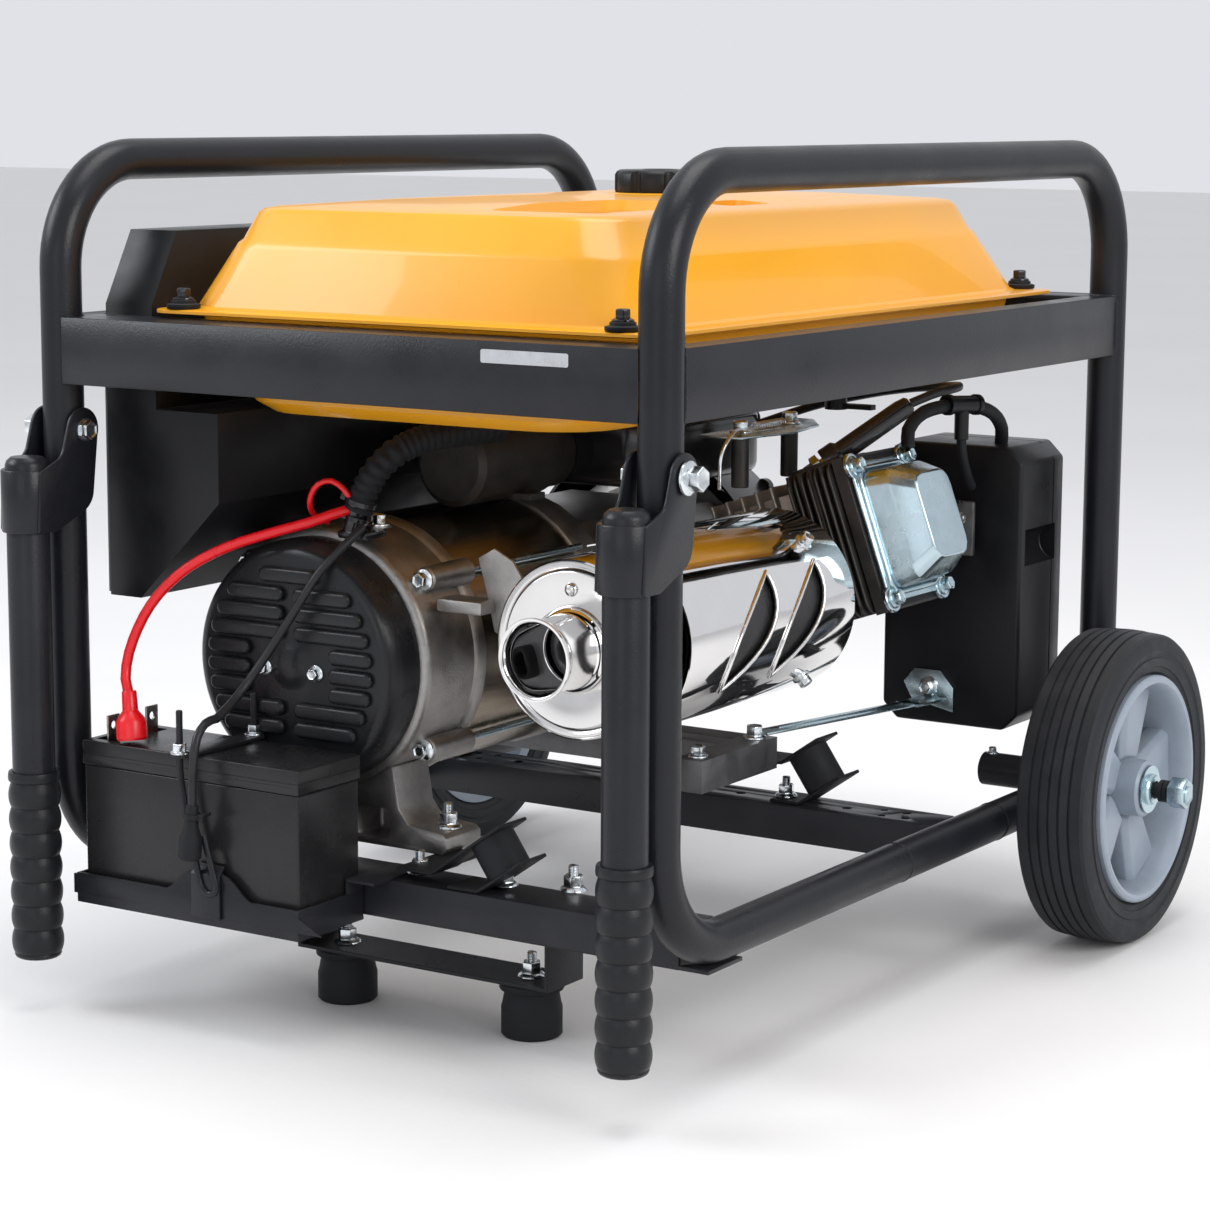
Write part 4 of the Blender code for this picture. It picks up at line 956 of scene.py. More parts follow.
def stacked(rings):
    """A skin through rings of equal length: the first is filled, then pulled up and reshaped ring by ring."""
    obj = chain(rings[0])
    bpy.ops.mesh.select_all(action="SELECT")
    bpy.ops.mesh.edge_face_add()
    mesh = bmesh.from_edit_mesh(obj.data)
    mesh.verts.ensure_lookup_table()
    count = len(rings[0])
    order = list(range(count))
    for ring in rings[1:]:
        bpy.ops.mesh.extrude_region_move(TRANSFORM_OT_translate={"value": (0, 0, 0.0001)})
        mesh = bmesh.from_edit_mesh(obj.data)
        mesh.verts.ensure_lookup_table()
        row = [v for v in mesh.verts if v.select]
        previous = rings[rings.index(ring) - 1]
        for vert in row:
            near = min(order, key=lambda k: (previous[k] - vert.co).length_squared)
            vert.co = ring[near]
        bmesh.update_edit_mesh(obj.data)
    bpy.ops.mesh.select_all(action="SELECT")
    bpy.ops.mesh.normals_make_consistent(inside=False)
    bpy.ops.object.mode_set(mode="OBJECT")
    return obj


def make_tank():
    flange = 0.511
    low_rings = [(-0.25, 0.226, -0.156, 0.116, 0.03, 0.4455), (-0.292, 0.256, -0.194, 0.154, 0.034, 0.459),
        (-0.3, 0.264, -0.206, 0.166, 0.032, 0.472), (-0.306, 0.27, -0.212, 0.172, 0.028, flange + 0.0006),]
    rings = [(-0.3265, 0.2885, -0.2335, 0.1885, 0.016, flange),
        (-0.328, 0.29, -0.235, 0.19, 0.016, flange + 0.0006),
        (-0.328, 0.29, -0.235, 0.19, 0.016, flange + 0.0026),
        (-0.3268, 0.2888, -0.2338, 0.1888, 0.015, flange + 0.0032),
        (-0.315, 0.2775, -0.218, 0.178, 0.036, flange + 0.0036),
        (-0.313, 0.2755, -0.215, 0.1752, 0.038, flange + 0.0055),
        (-0.303, 0.2592, -0.1945, 0.1524, 0.044, 0.5575), (-0.3018, 0.2578, -0.1928, 0.1508, 0.045, 0.5612),
        (-0.299, 0.255, -0.1896, 0.1476, 0.044, 0.564), (-0.2905, 0.2465, -0.1795, 0.1385, 0.04, 0.5828),
        (-0.287, 0.243, -0.1755, 0.1345, 0.038, 0.5858), (-0.28, 0.236, -0.168, 0.127, 0.034, 0.5872),
        (-0.2, 0.17, -0.105, 0.075, 0.02, 0.5915),]
    top = stacked([tank_ring(*ring) for ring in rings])
    base = stacked([tank_ring(*ring) for ring in low_rings])
    top = smooth(combined(top, base, "UNION"), 30)
    cut_tank_recesses(top)
    fitted(smooth(top, 26), "painted_tank", "tank", "frame", "fuel_tank")
    sump = stacked([tank_ring(*ring) for ring in ((-0.262, -0.04, -0.13, 0.118, 0.04, 0.4375),
        (-0.28, -0.024, -0.15, 0.136, 0.044, 0.44), (-0.2895, -0.01, -0.165, 0.148, 0.046, 0.448),
        (-0.2895, -0.01, -0.165, 0.148, 0.046, 0.457))])
    fitted(smooth(sump, 40), "tank_sump", "tank", "frame")
    make_tank_trim()


def cut_tank_recesses(tank):
    """The long panel pressed into the top, and a small oblong dimple ahead of it."""
    for x0, x1, y0, y1, corner, deep in ((-0.262, -0.105, -0.15, -0.062, 0.012, 0.0035),
            (-0.085, -0.02, -0.148, -0.118, 0.01, 0.0022)):
        low = 0.5872 - deep
        outline = rounded_corners(x0 + FRAME_X, x1 + FRAME_X, y0, y1, corner, 5)
        tool = prism(outline, "Z", low, low + 0.03)
        with editing(tool) as mesh:
            pick_faces(mesh, tool, lambda place, normal: normal.z > 0.9)
            bpy.ops.transform.resize(value=(1.16, 1.22, 1))
        cut(tank, tool)


def make_tank_trim():
    cap_spot = middle("fuel_cap")
    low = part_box("fuel_cap")[0].z
    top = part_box("fuel_cap")[1].z
    skirt = 0.5923
    cap = turned([(0, low + 0.002), (0.0175, low + 0.002), (0.0175, skirt), (0.0345, skirt),
        (0.035, skirt + 0.0015), (0.035, top - 0.0045), (0.0335, top - 0.002), (0.031, top - 0.0006),
        (0.014, top - 0.0006), (0.013, top), (0, top)], (cap_spot.x, cap_spot.y, 0), (0, 0, 1), 48)
    for k in range(8):
        a = tau * k / 8
        spot = Vector((cap_spot.x + 0.0385 * cos(a), cap_spot.y + 0.0385 * sin(a), skirt - 0.003))
        cut(cap, rod(spot, spot + Vector((0, 0, 0.03)), 0.0062, 20))
    fitted(smooth(rounded(cap, 0.0007, 2, 40), 40), "fluted_fuel_cap", "plastic", "fuel_cap", "fuel_cap")
    neck = turned([(0.0225, 0.588), (0.0405, 0.5895), (0.0412, 0.591), (0.0395, 0.5921), (0.0225, 0.5921)],
        (cap_spot.x, cap_spot.y, 0), (0, 0, 1), 48, ring=True)
    fitted(neck, "filler_neck_ring", "tank", "frame")
    glass = prism(rounded_corners(-0.252 + FRAME_X, -0.116 + FRAME_X, -0.135, -0.078, 0.006, 4), "Z", 0.583,
        0.585)
    fitted(rounded(glass, 0.0006, 2), "fuel_gauge_window", "glass", "frame")
    bezel = prism(rounded_corners(-0.256 + FRAME_X, -0.112 + FRAME_X, -0.139, -0.074, 0.008, 4), "Z",
        0.5825, 0.5844)
    fitted(rounded(bezel, 0.0005, 2), "fuel_gauge_bezel", "plastic", "frame")
    corners = [(-0.3165, -0.2065), (-0.3165, 0.166), (0.2755, -0.209), (0.2755, 0.166)]
    washers = []
    for x, y in corners:
        washers.append(turned([(0, 0), (0.0115, 0), (0.0122, 0.001), (0.0122, 0.0032), (0.009, 0.004),
            (0.0088, 0.006), (0.007, 0.0066), (0, 0.0068)], at(x, y, 0.5146), (0, 0, 1), 32))
    fitted(washers, "tank_rubber_washers", "rubber", "frame")
    spots = [(at(x, y, 0.5212), (0, 0, 1), 0.0095) for x, y in corners]
    fasteners("tank_corner_bolts", "bolt", spots, "frame", "gloss", "black_plastic")


# ---- alternator ----
LOUVRE_TOP = 0.0655        # height of the top louvre over the shaft
LOUVRE_HALF = 0.0057
LOUVRE_DEEP = 0.0052


def make_alternator():
    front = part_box("alternator_end_cover")[0].x
    make_end_cover(front)
    make_end_bell()
    low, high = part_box("alternator_stator")
    sleeve = turned([(0.063, low.x), (0.0965, low.x), (0.0975, low.x + 0.001), (0.0975, high.x - 0.001),
        (0.0965, high.x), (0.063, high.x)], (0, CRANK_Y, CRANK_Z), (1, 0, 0), 96, ring=True)
    # The sleeve's warm brown finish is painted reflection.
    fitted(sleeve, "stator_sleeve", "sleeve", "frame", "alternator_stator")
    studs = []
    for angle in (38, 142, 218, 322):
        a = radians(angle)
        spot = Vector((0, CRANK_Y + 0.102 * cos(a), CRANK_Z + 0.102 * sin(a)))
        studs.append(rod(spot + Vector((low.x - 0.004, 0, 0)), spot + Vector((high.x + 0.004, 0, 0)), 0.003,
            20))
    fitted(studs, "stator_tie_studs", "zinc", "frame")


def make_end_cover(front):
    """Pressed cover: a drum with two banks of horizontal louvres, a domed boss and two bolts."""
    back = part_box("alternator_end_cover")[1].x
    centre = (0, CRANK_Y, CRANK_Z)
    face = front + 0.004
    cover = turned([(0, front + 0.0008), (0.008, front + 0.001), (0.0125, front + 0.002),
        (0.016, face - 0.0004), (0.02, face), (0.079, face), (0.083, face + 0.0008), (0.086, face + 0.003),
        (0.088, face + 0.007), (0.09, face + 0.012), (0.0905, face + 0.015), (0.0905, back), (0.0885, back),
        (0.0885, face + 0.015), (0.086, face + 0.0065), (0.082, face + 0.0028), (0, face + 0.002)], centre,
        (1, 0, 0), 96, angle=32)
    pitch = bpy.context.scene.generator_sizes.louvre_pitch
    louvres = [louvre(face, -0.026, 0.026, LOUVRE_TOP)]
    for row in range(1, 9):
        z = LOUVRE_TOP - pitch * row
        outer = sqrt(0.079**2 - z**2) - 0.004
        inner = 0.036 if 4 <= row <= 6 else 0.0045
        louvres += [louvre(face, inner, outer, z), louvre(face, -outer, -inner, z)]
    cover = joined("cover", [cover] + louvres)
    fitted(cover, "louvred_end_cover", "louvre", "frame", "alternator_end_cover")
    fasteners("end_cover_bolts", "bolt",
        [(Vector((face - 0.0002, CRANK_Y + y, CRANK_Z - 0.004)), (-1, 0, 0), 0.0078)
        for y in (-0.0235, 0.0235)], "frame")


def louvre(face, y0, y1, z):
    """One pressed blister with round ends, open along its lower edge."""
    low = z - LOUVRE_HALF
    outline = rounded_corners(CRANK_Y + y0, CRANK_Y + y1, CRANK_Z + low, CRANK_Z + z + LOUVRE_HALF,
        LOUVRE_HALF * 0.96, 6)
    blister = rounded(prism(outline, "X", face - LOUVRE_DEEP, face + 0.0006), 0.0044, 5, 60)
    mouth = block((face - 0.0026, CRANK_Y + y0 + 0.0035, CRANK_Z + low - 0.002),
        (face + 0.002, CRANK_Y + y1 - 0.0035, CRANK_Z + low + 0.0034))
    return smooth(cut(blister, mouth), 40)


def stacked_from(rows):
    """The same skin as stacked(), for rings that aren't level."""
    obj = chain(rows[0])
    bpy.ops.mesh.select_all(action="SELECT")
    bpy.ops.mesh.edge_face_add()
    for previous, ring in zip(rows, rows[1:]):
        bpy.ops.mesh.extrude_region_move(TRANSFORM_OT_translate={"value": (0, 0, 0)})
        mesh = bmesh.from_edit_mesh(obj.data)
        for vert in [v for v in mesh.verts if v.select]:
            near = min(range(len(ring)), key=lambda k: (previous[k] - vert.co).length_squared)
            vert.co = ring[near]
        bmesh.update_edit_mesh(obj.data)
    bpy.ops.mesh.select_all(action="SELECT")
    bpy.ops.mesh.normals_make_consistent(inside=False)
    bpy.ops.object.mode_set(mode="OBJECT")
    return obj


def make_end_bell():
    """The cast end housing: a turned drum, tie-stud bosses, a ribbed foot, and its fasteners."""
    front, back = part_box("alternator_end_bell")[0].x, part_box("alternator_end_bell")[1].x
    centre = (0, CRANK_Y, CRANK_Z)
    drum = turned([(0.017, front), (0.0905, front), (0.094, front + 0.001), (0.0962, front + 0.0035),
        (0.097, front + 0.006), (0.097, back - 0.012), (0.0985, back - 0.0105), (0.1, back - 0.008),
        (0.1, back - 0.001), (0.0992, back), (0.0895, back), (0.0895, front + 0.01), (0.017, front + 0.01)],
        centre, (1, 0, 0), 96, ring=True)
    parts = [drum]
    spots = []
    for angle in (38, 142, 218, 322):
        a = radians(angle)
        out = Vector((0, cos(a), sin(a)))
        spot = Vector((0, CRANK_Y, CRANK_Z)) + out * 0.102
        boss = turned([(0, front + 0.019), (0.0078, front + 0.019), (0.009, front + 0.0205),
            (0.01, back - 0.008), (0.01, back - 0.0015), (0.0094, back - 0.0008), (0, back - 0.0008)],
            (0, spot.y, spot.z), (1, 0, 0), 32)
        parts.append(boss)
        spots.append((Vector((front + 0.019, spot.y, spot.z)), (-1, 0, 0), 0.01))
    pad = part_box("alternator_end_bell")[0].z
    half = 0.112
    outline = [(-half + 0.004, pad), (half - 0.004, pad), (half, pad + 0.004), (half, pad + 0.012),
        (half - 0.004, pad + 0.0155), (0.078, pad + 0.0185), (0.069, pad + 0.03), (0.064, pad + 0.06),
        (-0.064, pad + 0.06), (-0.069, pad + 0.03), (-0.078, pad + 0.0185), (-half + 0.004, pad + 0.0155),
        (-half, pad + 0.012), (-half, pad + 0.004)]
    foot = prism([(CRANK_Y + u, z) for u, z in outline], "X", front + 0.0015, front + 0.045)
    for u0, u1, z0, z1 in ((-0.06, -0.032, 0.006, 0.028), (-0.028, 0.0, 0.006, 0.024),
            (0.004, 0.032, 0.006, 0.024), (0.036, 0.062, 0.006, 0.028)):
        pocket = block((front - 0.004, CRANK_Y + u0, pad + z0), (front + 0.03, CRANK_Y + u1, pad + z1), 0.003)
        cut(foot, pocket)
    bore = rod((front - 0.02, CRANK_Y, CRANK_Z), (back + 0.02, CRANK_Y, CRANK_Z), 0.095, 64)
    parts.append(rounded(cut(foot, bore), 0.0012, 2, 35))
    arm = block((-0.2145, -0.036, 0.299), (-0.19, 0.004, 0.309), 0.0025)
    parts.append(arm)
    fitted(parts, "cast_end_bell", "casting", "frame", "alternator_end_bell")
    fasteners("end_bell_bolts", "bolt", spots, "frame")
    studs = [(Vector((front + 0.0225, CRANK_Y + side * 0.0985, pad + 0.016)), (0, 0, 1), 0.0125) for _,
        side in SIDES]
    fasteners("bell_foot_nuts", "nut", studs, "frame")
    make_muffler_hanger()


def make_muffler_hanger():
    """A bracket, in the casting finish, between the end bell and the muffler's sleeve."""
    outline = [(-0.03, 0.312), (-0.022, 0.338), (-0.036, 0.346), (-0.052, 0.338), (-0.0655, 0.318),
        (-0.0655, 0.29), (-0.054, 0.276), (-0.036, 0.286)]
    plate = prism(outline, "X", FRAME_X - 0.2185, FRAME_X - 0.216)
    fitted(rounded(plate, 0.0005, 2), "muffler_hanger", "casting", "frame")
    fasteners("muffler_hanger_bolt", "bolt", [(at(-0.2186, -0.0555, 0.299), (-1, 0, 0), 0.011)], "frame")


# ---- engine ----
CYL_TILT = radians(20)
CYL_HEAD = at(0.113, -0.185, 0.336)


def head_frame():
    """Maps (along X, up the joint face, out along the cylinder) to the machine's axes."""
    up = Vector((0, sin(CYL_TILT), cos(CYL_TILT)))
    out = Vector((0, -cos(CYL_TILT), sin(CYL_TILT)))
    turn = Matrix((Vector((1, 0, 0)), up, out)).transposed().to_4x4()
    return Matrix.Translation(CYL_HEAD) @ turn


def on_head(obj):
    obj.data.transform(head_frame())
    return obj


def head_point(x, up, out):
    return head_frame() @ Vector((x, up, out))


HEAD_OUT = head_frame().to_3x3() @ Vector((0, 0, 1))


def make_engine():
    crankcase = [softened("engine_block", 0.0022, 2, 40)]
    for x, z in ((0.045, 0.215), (0.045, 0.3), (0.145, 0.215), (0.145, 0.3)):
        crankcase.append(turned([(0, 0), (0.0105, 0), (0.0095, 0.006), (0.007, 0.008), (0, 0.008)],
            at(x, 0.0075, z), (0, -1, 0), 24))
    fitted(crankcase, "engine_castings", "casting", "frame", "engine_block")
    make_head()
    make_valve_cover()
    make_starter_end()
    make_intake()
    base = softened("engine_base", 0.0022, 2)
    fitted(base, "engine_base_tubes", "steel", "frame", "engine_base")
    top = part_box("engine_base")[1].z
    fasteners("engine_base_bolts", "bolt",
        [(at(0.04, -0.1035, top), (0, 0, 1), 0.012), (at(-0.045, -0.1035, top), (0, 0, 1), 0.01)], "frame")
    make_stay()


def make_head():
    """The finned head: a core, thin fins with rounded corners, two bridges and a plug boss."""
    parts = [softened("cylinder_head", 0.0006, 1, 40)]
    for k in range(7):
        z = -0.0135 - 0.0062 * k
        fin = prism(rounded_corners(-0.0545, 0.0545, -0.06, 0.061, 0.01, 4), "Z", z - 0.0011, z + 0.0011)
        parts.append(on_head(rounded(fin, 0.0005, 1)))
    for x in (-0.034, 0.01):
        bridge = block((x - 0.004, 0.03, -0.054), (x + 0.004, 0.064, -0.012), 0.002)
        parts.append(on_head(bridge))
    boss = turned([(0, 0), (0.015, 0), (0.013, 0.01), (0.011, 0.012), (0, 0.012)],
        head_point(-0.02, 0.052, -0.03), head_frame().to_3x3() @ Vector((-0.3, 1, 0.2)), 28)
    parts.append(boss)
    fitted(parts, "finned_cylinder_head", "dark_casting", "frame", "cylinder_head", slot="cast_aluminium")


def make_valve_cover():
    """Pressed sheet: a beaded flange with four eared corners, a stepped skirt and a chamfered dome."""
    ears = []
    flange = prism(rounded_corners(-0.046, 0.046, -0.056, 0.056, 0.012, 5), "Z", 0, 0.0034)
    for x, y in ((-0.0415, -0.053), (0.0415, -0.053), (-0.0415, 0.053), (0.0415, 0.053)):
        ear = turned([(0, 0), (0.01, 0), (0.0106, 0.0006), (0.0106, 0.003), (0.01, 0.0036), (0, 0.0036)],
            (x, y, 0), (0, 0, 1), 28)
        ears.append(ear)
    shell = rounded(flange, 0.0012, 3, 40)
    rim = rounded_corners(-0.0395, 0.0395, -0.05, 0.05, 0.012, 6)
    bead = solid_tube([Vector((x, y, 0.004)) for x, y in rim], 0.0021, 4, cyclic=True)
    c0 = 0.012
    dome = stacked_from([[Vector((x, y, z)) for x, y in rounded_corners(-hx, hx, -hy, hy, c, 3)] for hx, hy,
        c, z in ((0.0375, 0.048, c0, 0.003), (0.0365, 0.047, c0, 0.007), (0.035, 0.0452, 0.0125, 0.024),
        (0.0344, 0.0444, 0.013, 0.0262), (0.028, 0.0345, 0.012, 0.0425), (0.0268, 0.033, 0.0115, 0.0438))])
    rounded(dome, 0.0016, 3, 14)
    parts = [on_head(part) for part in [shell, bead, dome] + ears]
    fitted(smooth(joined("cover", parts), 50), "pressed_valve_cover", "zinc", "frame", "valve_cover")
    gasket = on_head(prism(rounded_corners(-0.0475, 0.0475, -0.06, 0.06, 0.012, 5), "Z", -0.0012, -0.0002))
    fitted(gasket, "valve_cover_gasket", "rubber", "frame")
    spots = [(head_point(x, y, 0.0036), HEAD_OUT, 0.01) for x,
        y in ((-0.0415, -0.053), (0.0415, -0.053), (-0.0415, 0.053), (0.0415, 0.053))]
    fasteners("valve_cover_bolts", "bolt", spots, "frame", "zinc")


def make_starter_end():
    low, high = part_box("blower_housing")
    centre = (0, CRANK_Y, CRANK_Z)
    x0, x1 = low.x, high.x
    shell = turned([(0.042, x1 - 0.002), (0.044, x1), (0.0765, x1), (0.08, x1 - 0.001),
        (0.0835, x1 - 0.0045), (0.085, x1 - 0.008), (0.0868, x1 - 0.0255), (0.112, x1 - 0.0258),
        (0.116, x1 - 0.0285), (0.118, x1 - 0.033), (0.118, x0), (0.1155, x0), (0.1155, x1 - 0.034),
        (0.11, x1 - 0.0285), (0.0845, x1 - 0.028), (0.0825, x1 - 0.0085), (0.077, x1 - 0.0025),
        (0.042, x1 - 0.004)], centre, (1, 0, 0), 96, ring=True)
    for k in range(20):
        a = tau * k / 20
        spot = Vector((x1 - 0.01, CRANK_Y + 0.062 * cos(a), CRANK_Z + 0.062 * sin(a)))
        slot = block((-0.014, -0.0022, -0.02), (0.014, 0.0022, 0.02))
        placed(slot, spot, (1, 0, 0), (0, cos(a), sin(a)))
        cut(shell, slot)
    hub = turned([(0, x1 - 0.006), (0.04, x1 - 0.006), (0.0425, x1 - 0.004), (0.0425, x1 - 0.0015),
        (0.03, x1 - 0.0005), (0, x1 - 0.0005)], centre, (1, 0, 0), 48)
    hoops = [hub]
    hoop_ring = 0.1135
    for k in range(4):
        a = radians(45 + 90 * k)
        spot = Vector((x1 - 0.033, CRANK_Y + hoop_ring * cos(a), CRANK_Z + hoop_ring * sin(a)))
        hoops.append(rod(spot, spot + Vector((0.0075, 0, 0)), 0.008, 24))
    fitted(smooth(joined("blower", [smooth(shell)] + hoops)), "recoil_starter_housing", "gloss", "frame",
        "blower_housing")
    spots = [(Vector((x1 - 0.0255, CRANK_Y + 0.1135 * cos(radians(45 + 90 * k)),
        CRANK_Z + 0.1135 * sin(radians(45 + 90 * k)))), (1, 0, 0), 0.008) for k in range(4)]
    fasteners("starter_housing_bolts", "bolt", spots, "frame")
    grip_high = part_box("recoil_grip")[1]
    spot = Vector((grip_high.x - 0.009, CRANK_Y, middle("recoil_grip").z))
    grip = turned([(0, -0.036), (0.0062, -0.036), (0.0086, -0.0325), (0.009, -0.028), (0.0078, -0.012),
        (0.0076, 0.012), (0.009, 0.028), (0.0086, 0.0325), (0.0062, 0.036), (0, 0.036)], spot, (0, 1, 0),
        40)
    stem = turned([(0, 0), (0.008, 0), (0.0078, 0.003), (0.005, 0.006), (0, 0.006)],
        Vector((x1 + 0.0003, CRANK_Y, spot.z)), (1, 0, 0), 28)
    fitted([grip, stem], "starter_grip", "rubber", "recoil_grip", "recoil_grip")
    cap_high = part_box("oil_filler_cap")[1]
    oil = Vector((middle("oil_filler_cap").x, cap_high.y, middle("oil_filler_cap").z))
    cap = turned([(0, 0), (0.014, 0), (0.0145, 0.0008), (0.0145, 0.0095), (0.013, 0.0115), (0, 0.012)], oil,
        (0, -1, 0), 40)
    bar = block(oil + Vector((-0.011, -0.02, -0.0025)), oil + Vector((0.011, -0.008, 0.0025)), 0.0012)
    fitted([cap, bar], "oil_filler_plug", "plastic", "oil_filler_cap", "oil_filler_cap")


def make_intake():
    """The air box with its rim seam and cut-away, the carburettor, and the choke lever."""
    low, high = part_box("air_cleaner")
    box_part = block(low, high, 0.0)
    with editing(box_part) as mesh:
        for edge in mesh.edges:
            a, b = (v.co for v in edge.verts)
            edge.select_set(abs(a.x - b.x) > 0.01)
        bmesh.update_edit_mesh(box_part.data)
        bpy.ops.mesh.select_mode(type="EDGE")
        bpy.ops.mesh.bevel(offset=0.013, segments=1, affect="EDGES")
    rounded(box_part, 0.003, 3, 25)
    seam = high.x - 0.02
    groove = block((seam - 0.0008, low.y - 0.01, low.z - 0.01), (seam + 0.0008, high.y + 0.01, high.z + 0.01))
    core = block((seam - 0.002, low.y + 0.0016, low.z + 0.0016),
        (seam + 0.002, high.y - 0.0016, high.z - 0.0016))
    cut(groove, core)
    cut(box_part, groove)
    scoop = rod((low.x + 0.0085, low.y - 0.001, high.z - 0.082),
        (low.x + 0.065, low.y - 0.001, high.z - 0.082), 0.015, 40)
    cut(box_part, scoop)
    fitted(smooth(box_part, 30), "air_cleaner_box", "plastic", "frame", "air_cleaner")
    fasteners("air_box_screws", "bolt",
        [(Vector((low.x + 0.01, low.y + 0.0155, high.z - 0.075)), (-0.4, -1, 0), 0.0065)], "frame")
    make_carburettor()


def make_carburettor():
    spot = middle("choke_lever")
    y = -0.158
    z = 0.325
    throat = turned([(0, 0), (0.0215, 0), (0.0215, 0.004), (0.0175, 0.005), (0.017, 0.024), (0.0205, 0.026),
        (0.0205, 0.034), (0.018, 0.036), (0.018, 0.08), (0, 0.08)], (FRAME_X + 0.168, y, z), (1, 0, 0), 48)
    bowl = turned([(0, 0.274), (0.006, 0.274), (0.0065, 0.277), (0.017, 0.2775), (0.02, 0.28),
        (0.021, 0.284), (0.021, 0.312), (0.0225, 0.313), (0.0225, 0.3165), (0, 0.3165)], at(0.208, y, 0),
        (0, 0, 1), 48)
    deck = block(at(0.195, y - 0.0235, 0.316), at(0.223, y + 0.0195, 0.3438), 0.003)
    parts = [throat, bowl, deck]
    for dx, dz in ((0.006, 0.008), (-0.006, 0.0065)):
        shaft = rod(at(0.2085 + dx, y - 0.037, z + dz), at(0.2085 + dx, y - 0.02, z + dz), 0.0026, 20)
        parts.append(shaft)
        coil = []
        for k in range(60):
            a = tau * 5 * k / 60
            coil.append(at(0.2085 + dx + 0.0042 * cos(a), y - 0.0235 - 0.012 * k / 60,
                z + dz + 0.0042 * sin(a)))
        parts.append(solid_tube(coil, 0.0007, 2))
    fitted(parts, "carburettor_body", "casting", "frame", "carburettor")
    flange = block(at(0.236, y - 0.034, z - 0.026), at(0.241, y + 0.022, z + 0.0185), 0.0015)
    fitted(flange, "intake_flange", "steel", "frame")
    hub = turned([(0, 0), (0.0068, 0), (0.007, 0.0006), (0.007, 0.0034), (0.006, 0.004), (0, 0.004)],
        Vector((at(0.209, 0, 0).x, y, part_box("choke_lever")[0].z)), (0, 0, 1), 28)
    arm = block(Vector((at(0.206, 0, 0).x, y - 0.036, spot.z - 0.0015)),
        Vector((at(0.212, 0, 0).x, y, spot.z + 0.0015)), 0.001)
    fitted([hub, arm], "choke_lever_arm", "plastic", "choke_lever", "choke_lever")


def make_stay():
    """The zinc strap from the engine base to the air box: a ribbed strip with a hexagonal end plate."""
    start = at(0.04, -0.1085, 0.1755)
    end = at(0.215, -0.15, 0.1755)
    along = end - start
    strip = block((0, -0.008, 0), (along.length, 0.008, 0.0022), 0.0006)
    rib = block((0.02, -0.0022, 0.0015), (along.length - 0.012, 0.0022, 0.0036), 0.001)
    for part in (strip, rib):
        placed(part, start, (0, 0, 1), along)
    plate_x = FRAME_X + 0.247
    outline = [(-0.172, 0.166), (-0.172, 0.186), (-0.16, 0.2), (-0.136, 0.2), (-0.126, 0.188),
        (-0.134, 0.174)]
    plate = rounded(prism(outline, "X", plate_x, plate_x + 0.0024), 0.0006, 2)
    corner = at(0.248, -0.156, 0.1765)
    neck = corner - end
    link_part = block((-0.006, -0.0115, 0), (neck.length, 0.0115, 0.0022), 0.0006)
    placed(link_part, end, (0, 0, 1), neck)
    fitted([strip, rib, plate, link_part], "air_box_stay", "zinc", "frame")
    fasteners("stay_bolts", "bolt", [(Vector((plate_x, -0.15, 0.186)), (-1, 0, 0), 0.0105)], "frame")


# ---- exhaust ----
MUFFLER_Y = -0.131


def make_exhaust():
    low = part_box("muffler_body")[0]
    z = middle("muffler_body").z
    r = 0.064
    front = FRAME_X - 0.262
    back = FRAME_X + 0.03
    centre = (0, MUFFLER_Y, z)
    sleeve = turned([(0.06, front + 0.006), (0.062, front + 0.0015), (0.0632, front + 0.0022),
        (r, front + 0.006), (r, back - 0.005), (0.062, back - 0.0012), (0.056, back), (0, back),
        (0, back - 0.0015), (0.055, back - 0.002), (0.06, back - 0.006)], centre, (1, 0, 0), 96, ring=True)
    fitted(sleeve, "muffler_sleeve", "chrome", "frame", "muffler_body")
    cap = turned([(0.0235, front + 0.0035), (0.0235, front + 0.0012), (0.026, front), (0.0545, front),
        (0.056, front + 0.0008), (0.0575, front + 0.0022), (0.059, front + 0.0015), (0.0612, front + 0.002),
        (0.0618, front + 0.0035), (0.06, front + 0.006)], centre, (1, 0, 0), 96, ring=True, angle=28)
    fitted(cap, "muffler_end_cap", "cap_chrome", "frame")
    x = low.x
    pipe = turned([(0.029, front + 0.001), (0.0302, front - 0.001), (0.03, front - 0.004),
        (0.0272, front - 0.0056), (0.0258, front - 0.0075), (0.0255, x + 0.012), (0.0262, x + 0.0065),
        (0.028, x + 0.004), (0.029, x + 0.0018), (0.0287, x + 0.0003), (0.0272, x), (0.0258, x + 0.0012),
        (0.0243, x + 0.0055), (0.024, x + 0.012), (0.024, front + 0.001)], centre, (1, 0, 0), 80, ring=True,
        angle=60)
    fitted(pipe, "flared_tailpipe", "chrome", "frame")
    inner = turned([(0.0085, front - 0.002), (0.0098, front - 0.004), (0.011, front - 0.002),
        (0.011, front + 0.02), (0.0085, front + 0.02)], centre, (1, 0, 0), 48, ring=True)
    disc = turned([(0.011, front + 0.0095), (0.0236, front + 0.0095), (0.0236, front + 0.011),
        (0.011, front + 0.011)], centre, (1, 0, 0), 48, ring=True)
    fitted([inner, disc], "tailpipe_baffle", "steel", "frame")
    fasteners("end_cap_rivet", "rivet", [(Vector((front, MUFFLER_Y, z + 0.0425)), (-1, 0, 0), 0.01)],
        "frame", "cap_chrome")
    shield_low, shield_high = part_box("heat_shield")
    # A near-black sheet under the shield: painted shade that shows through the slots.
    shade_sheet = turned([(r + 0.0002, shield_low.x + 0.012), (r + 0.001, shield_low.x + 0.012),
        (r + 0.001, shield_high.x - 0.012), (r + 0.0002, shield_high.x - 0.012)], centre, (1, 0, 0), 96,
        ring=True)
    fitted(shade_sheet, "muffler_painted_shade_sheet", "slot_shade", "frame")
    make_heat_shield(z)


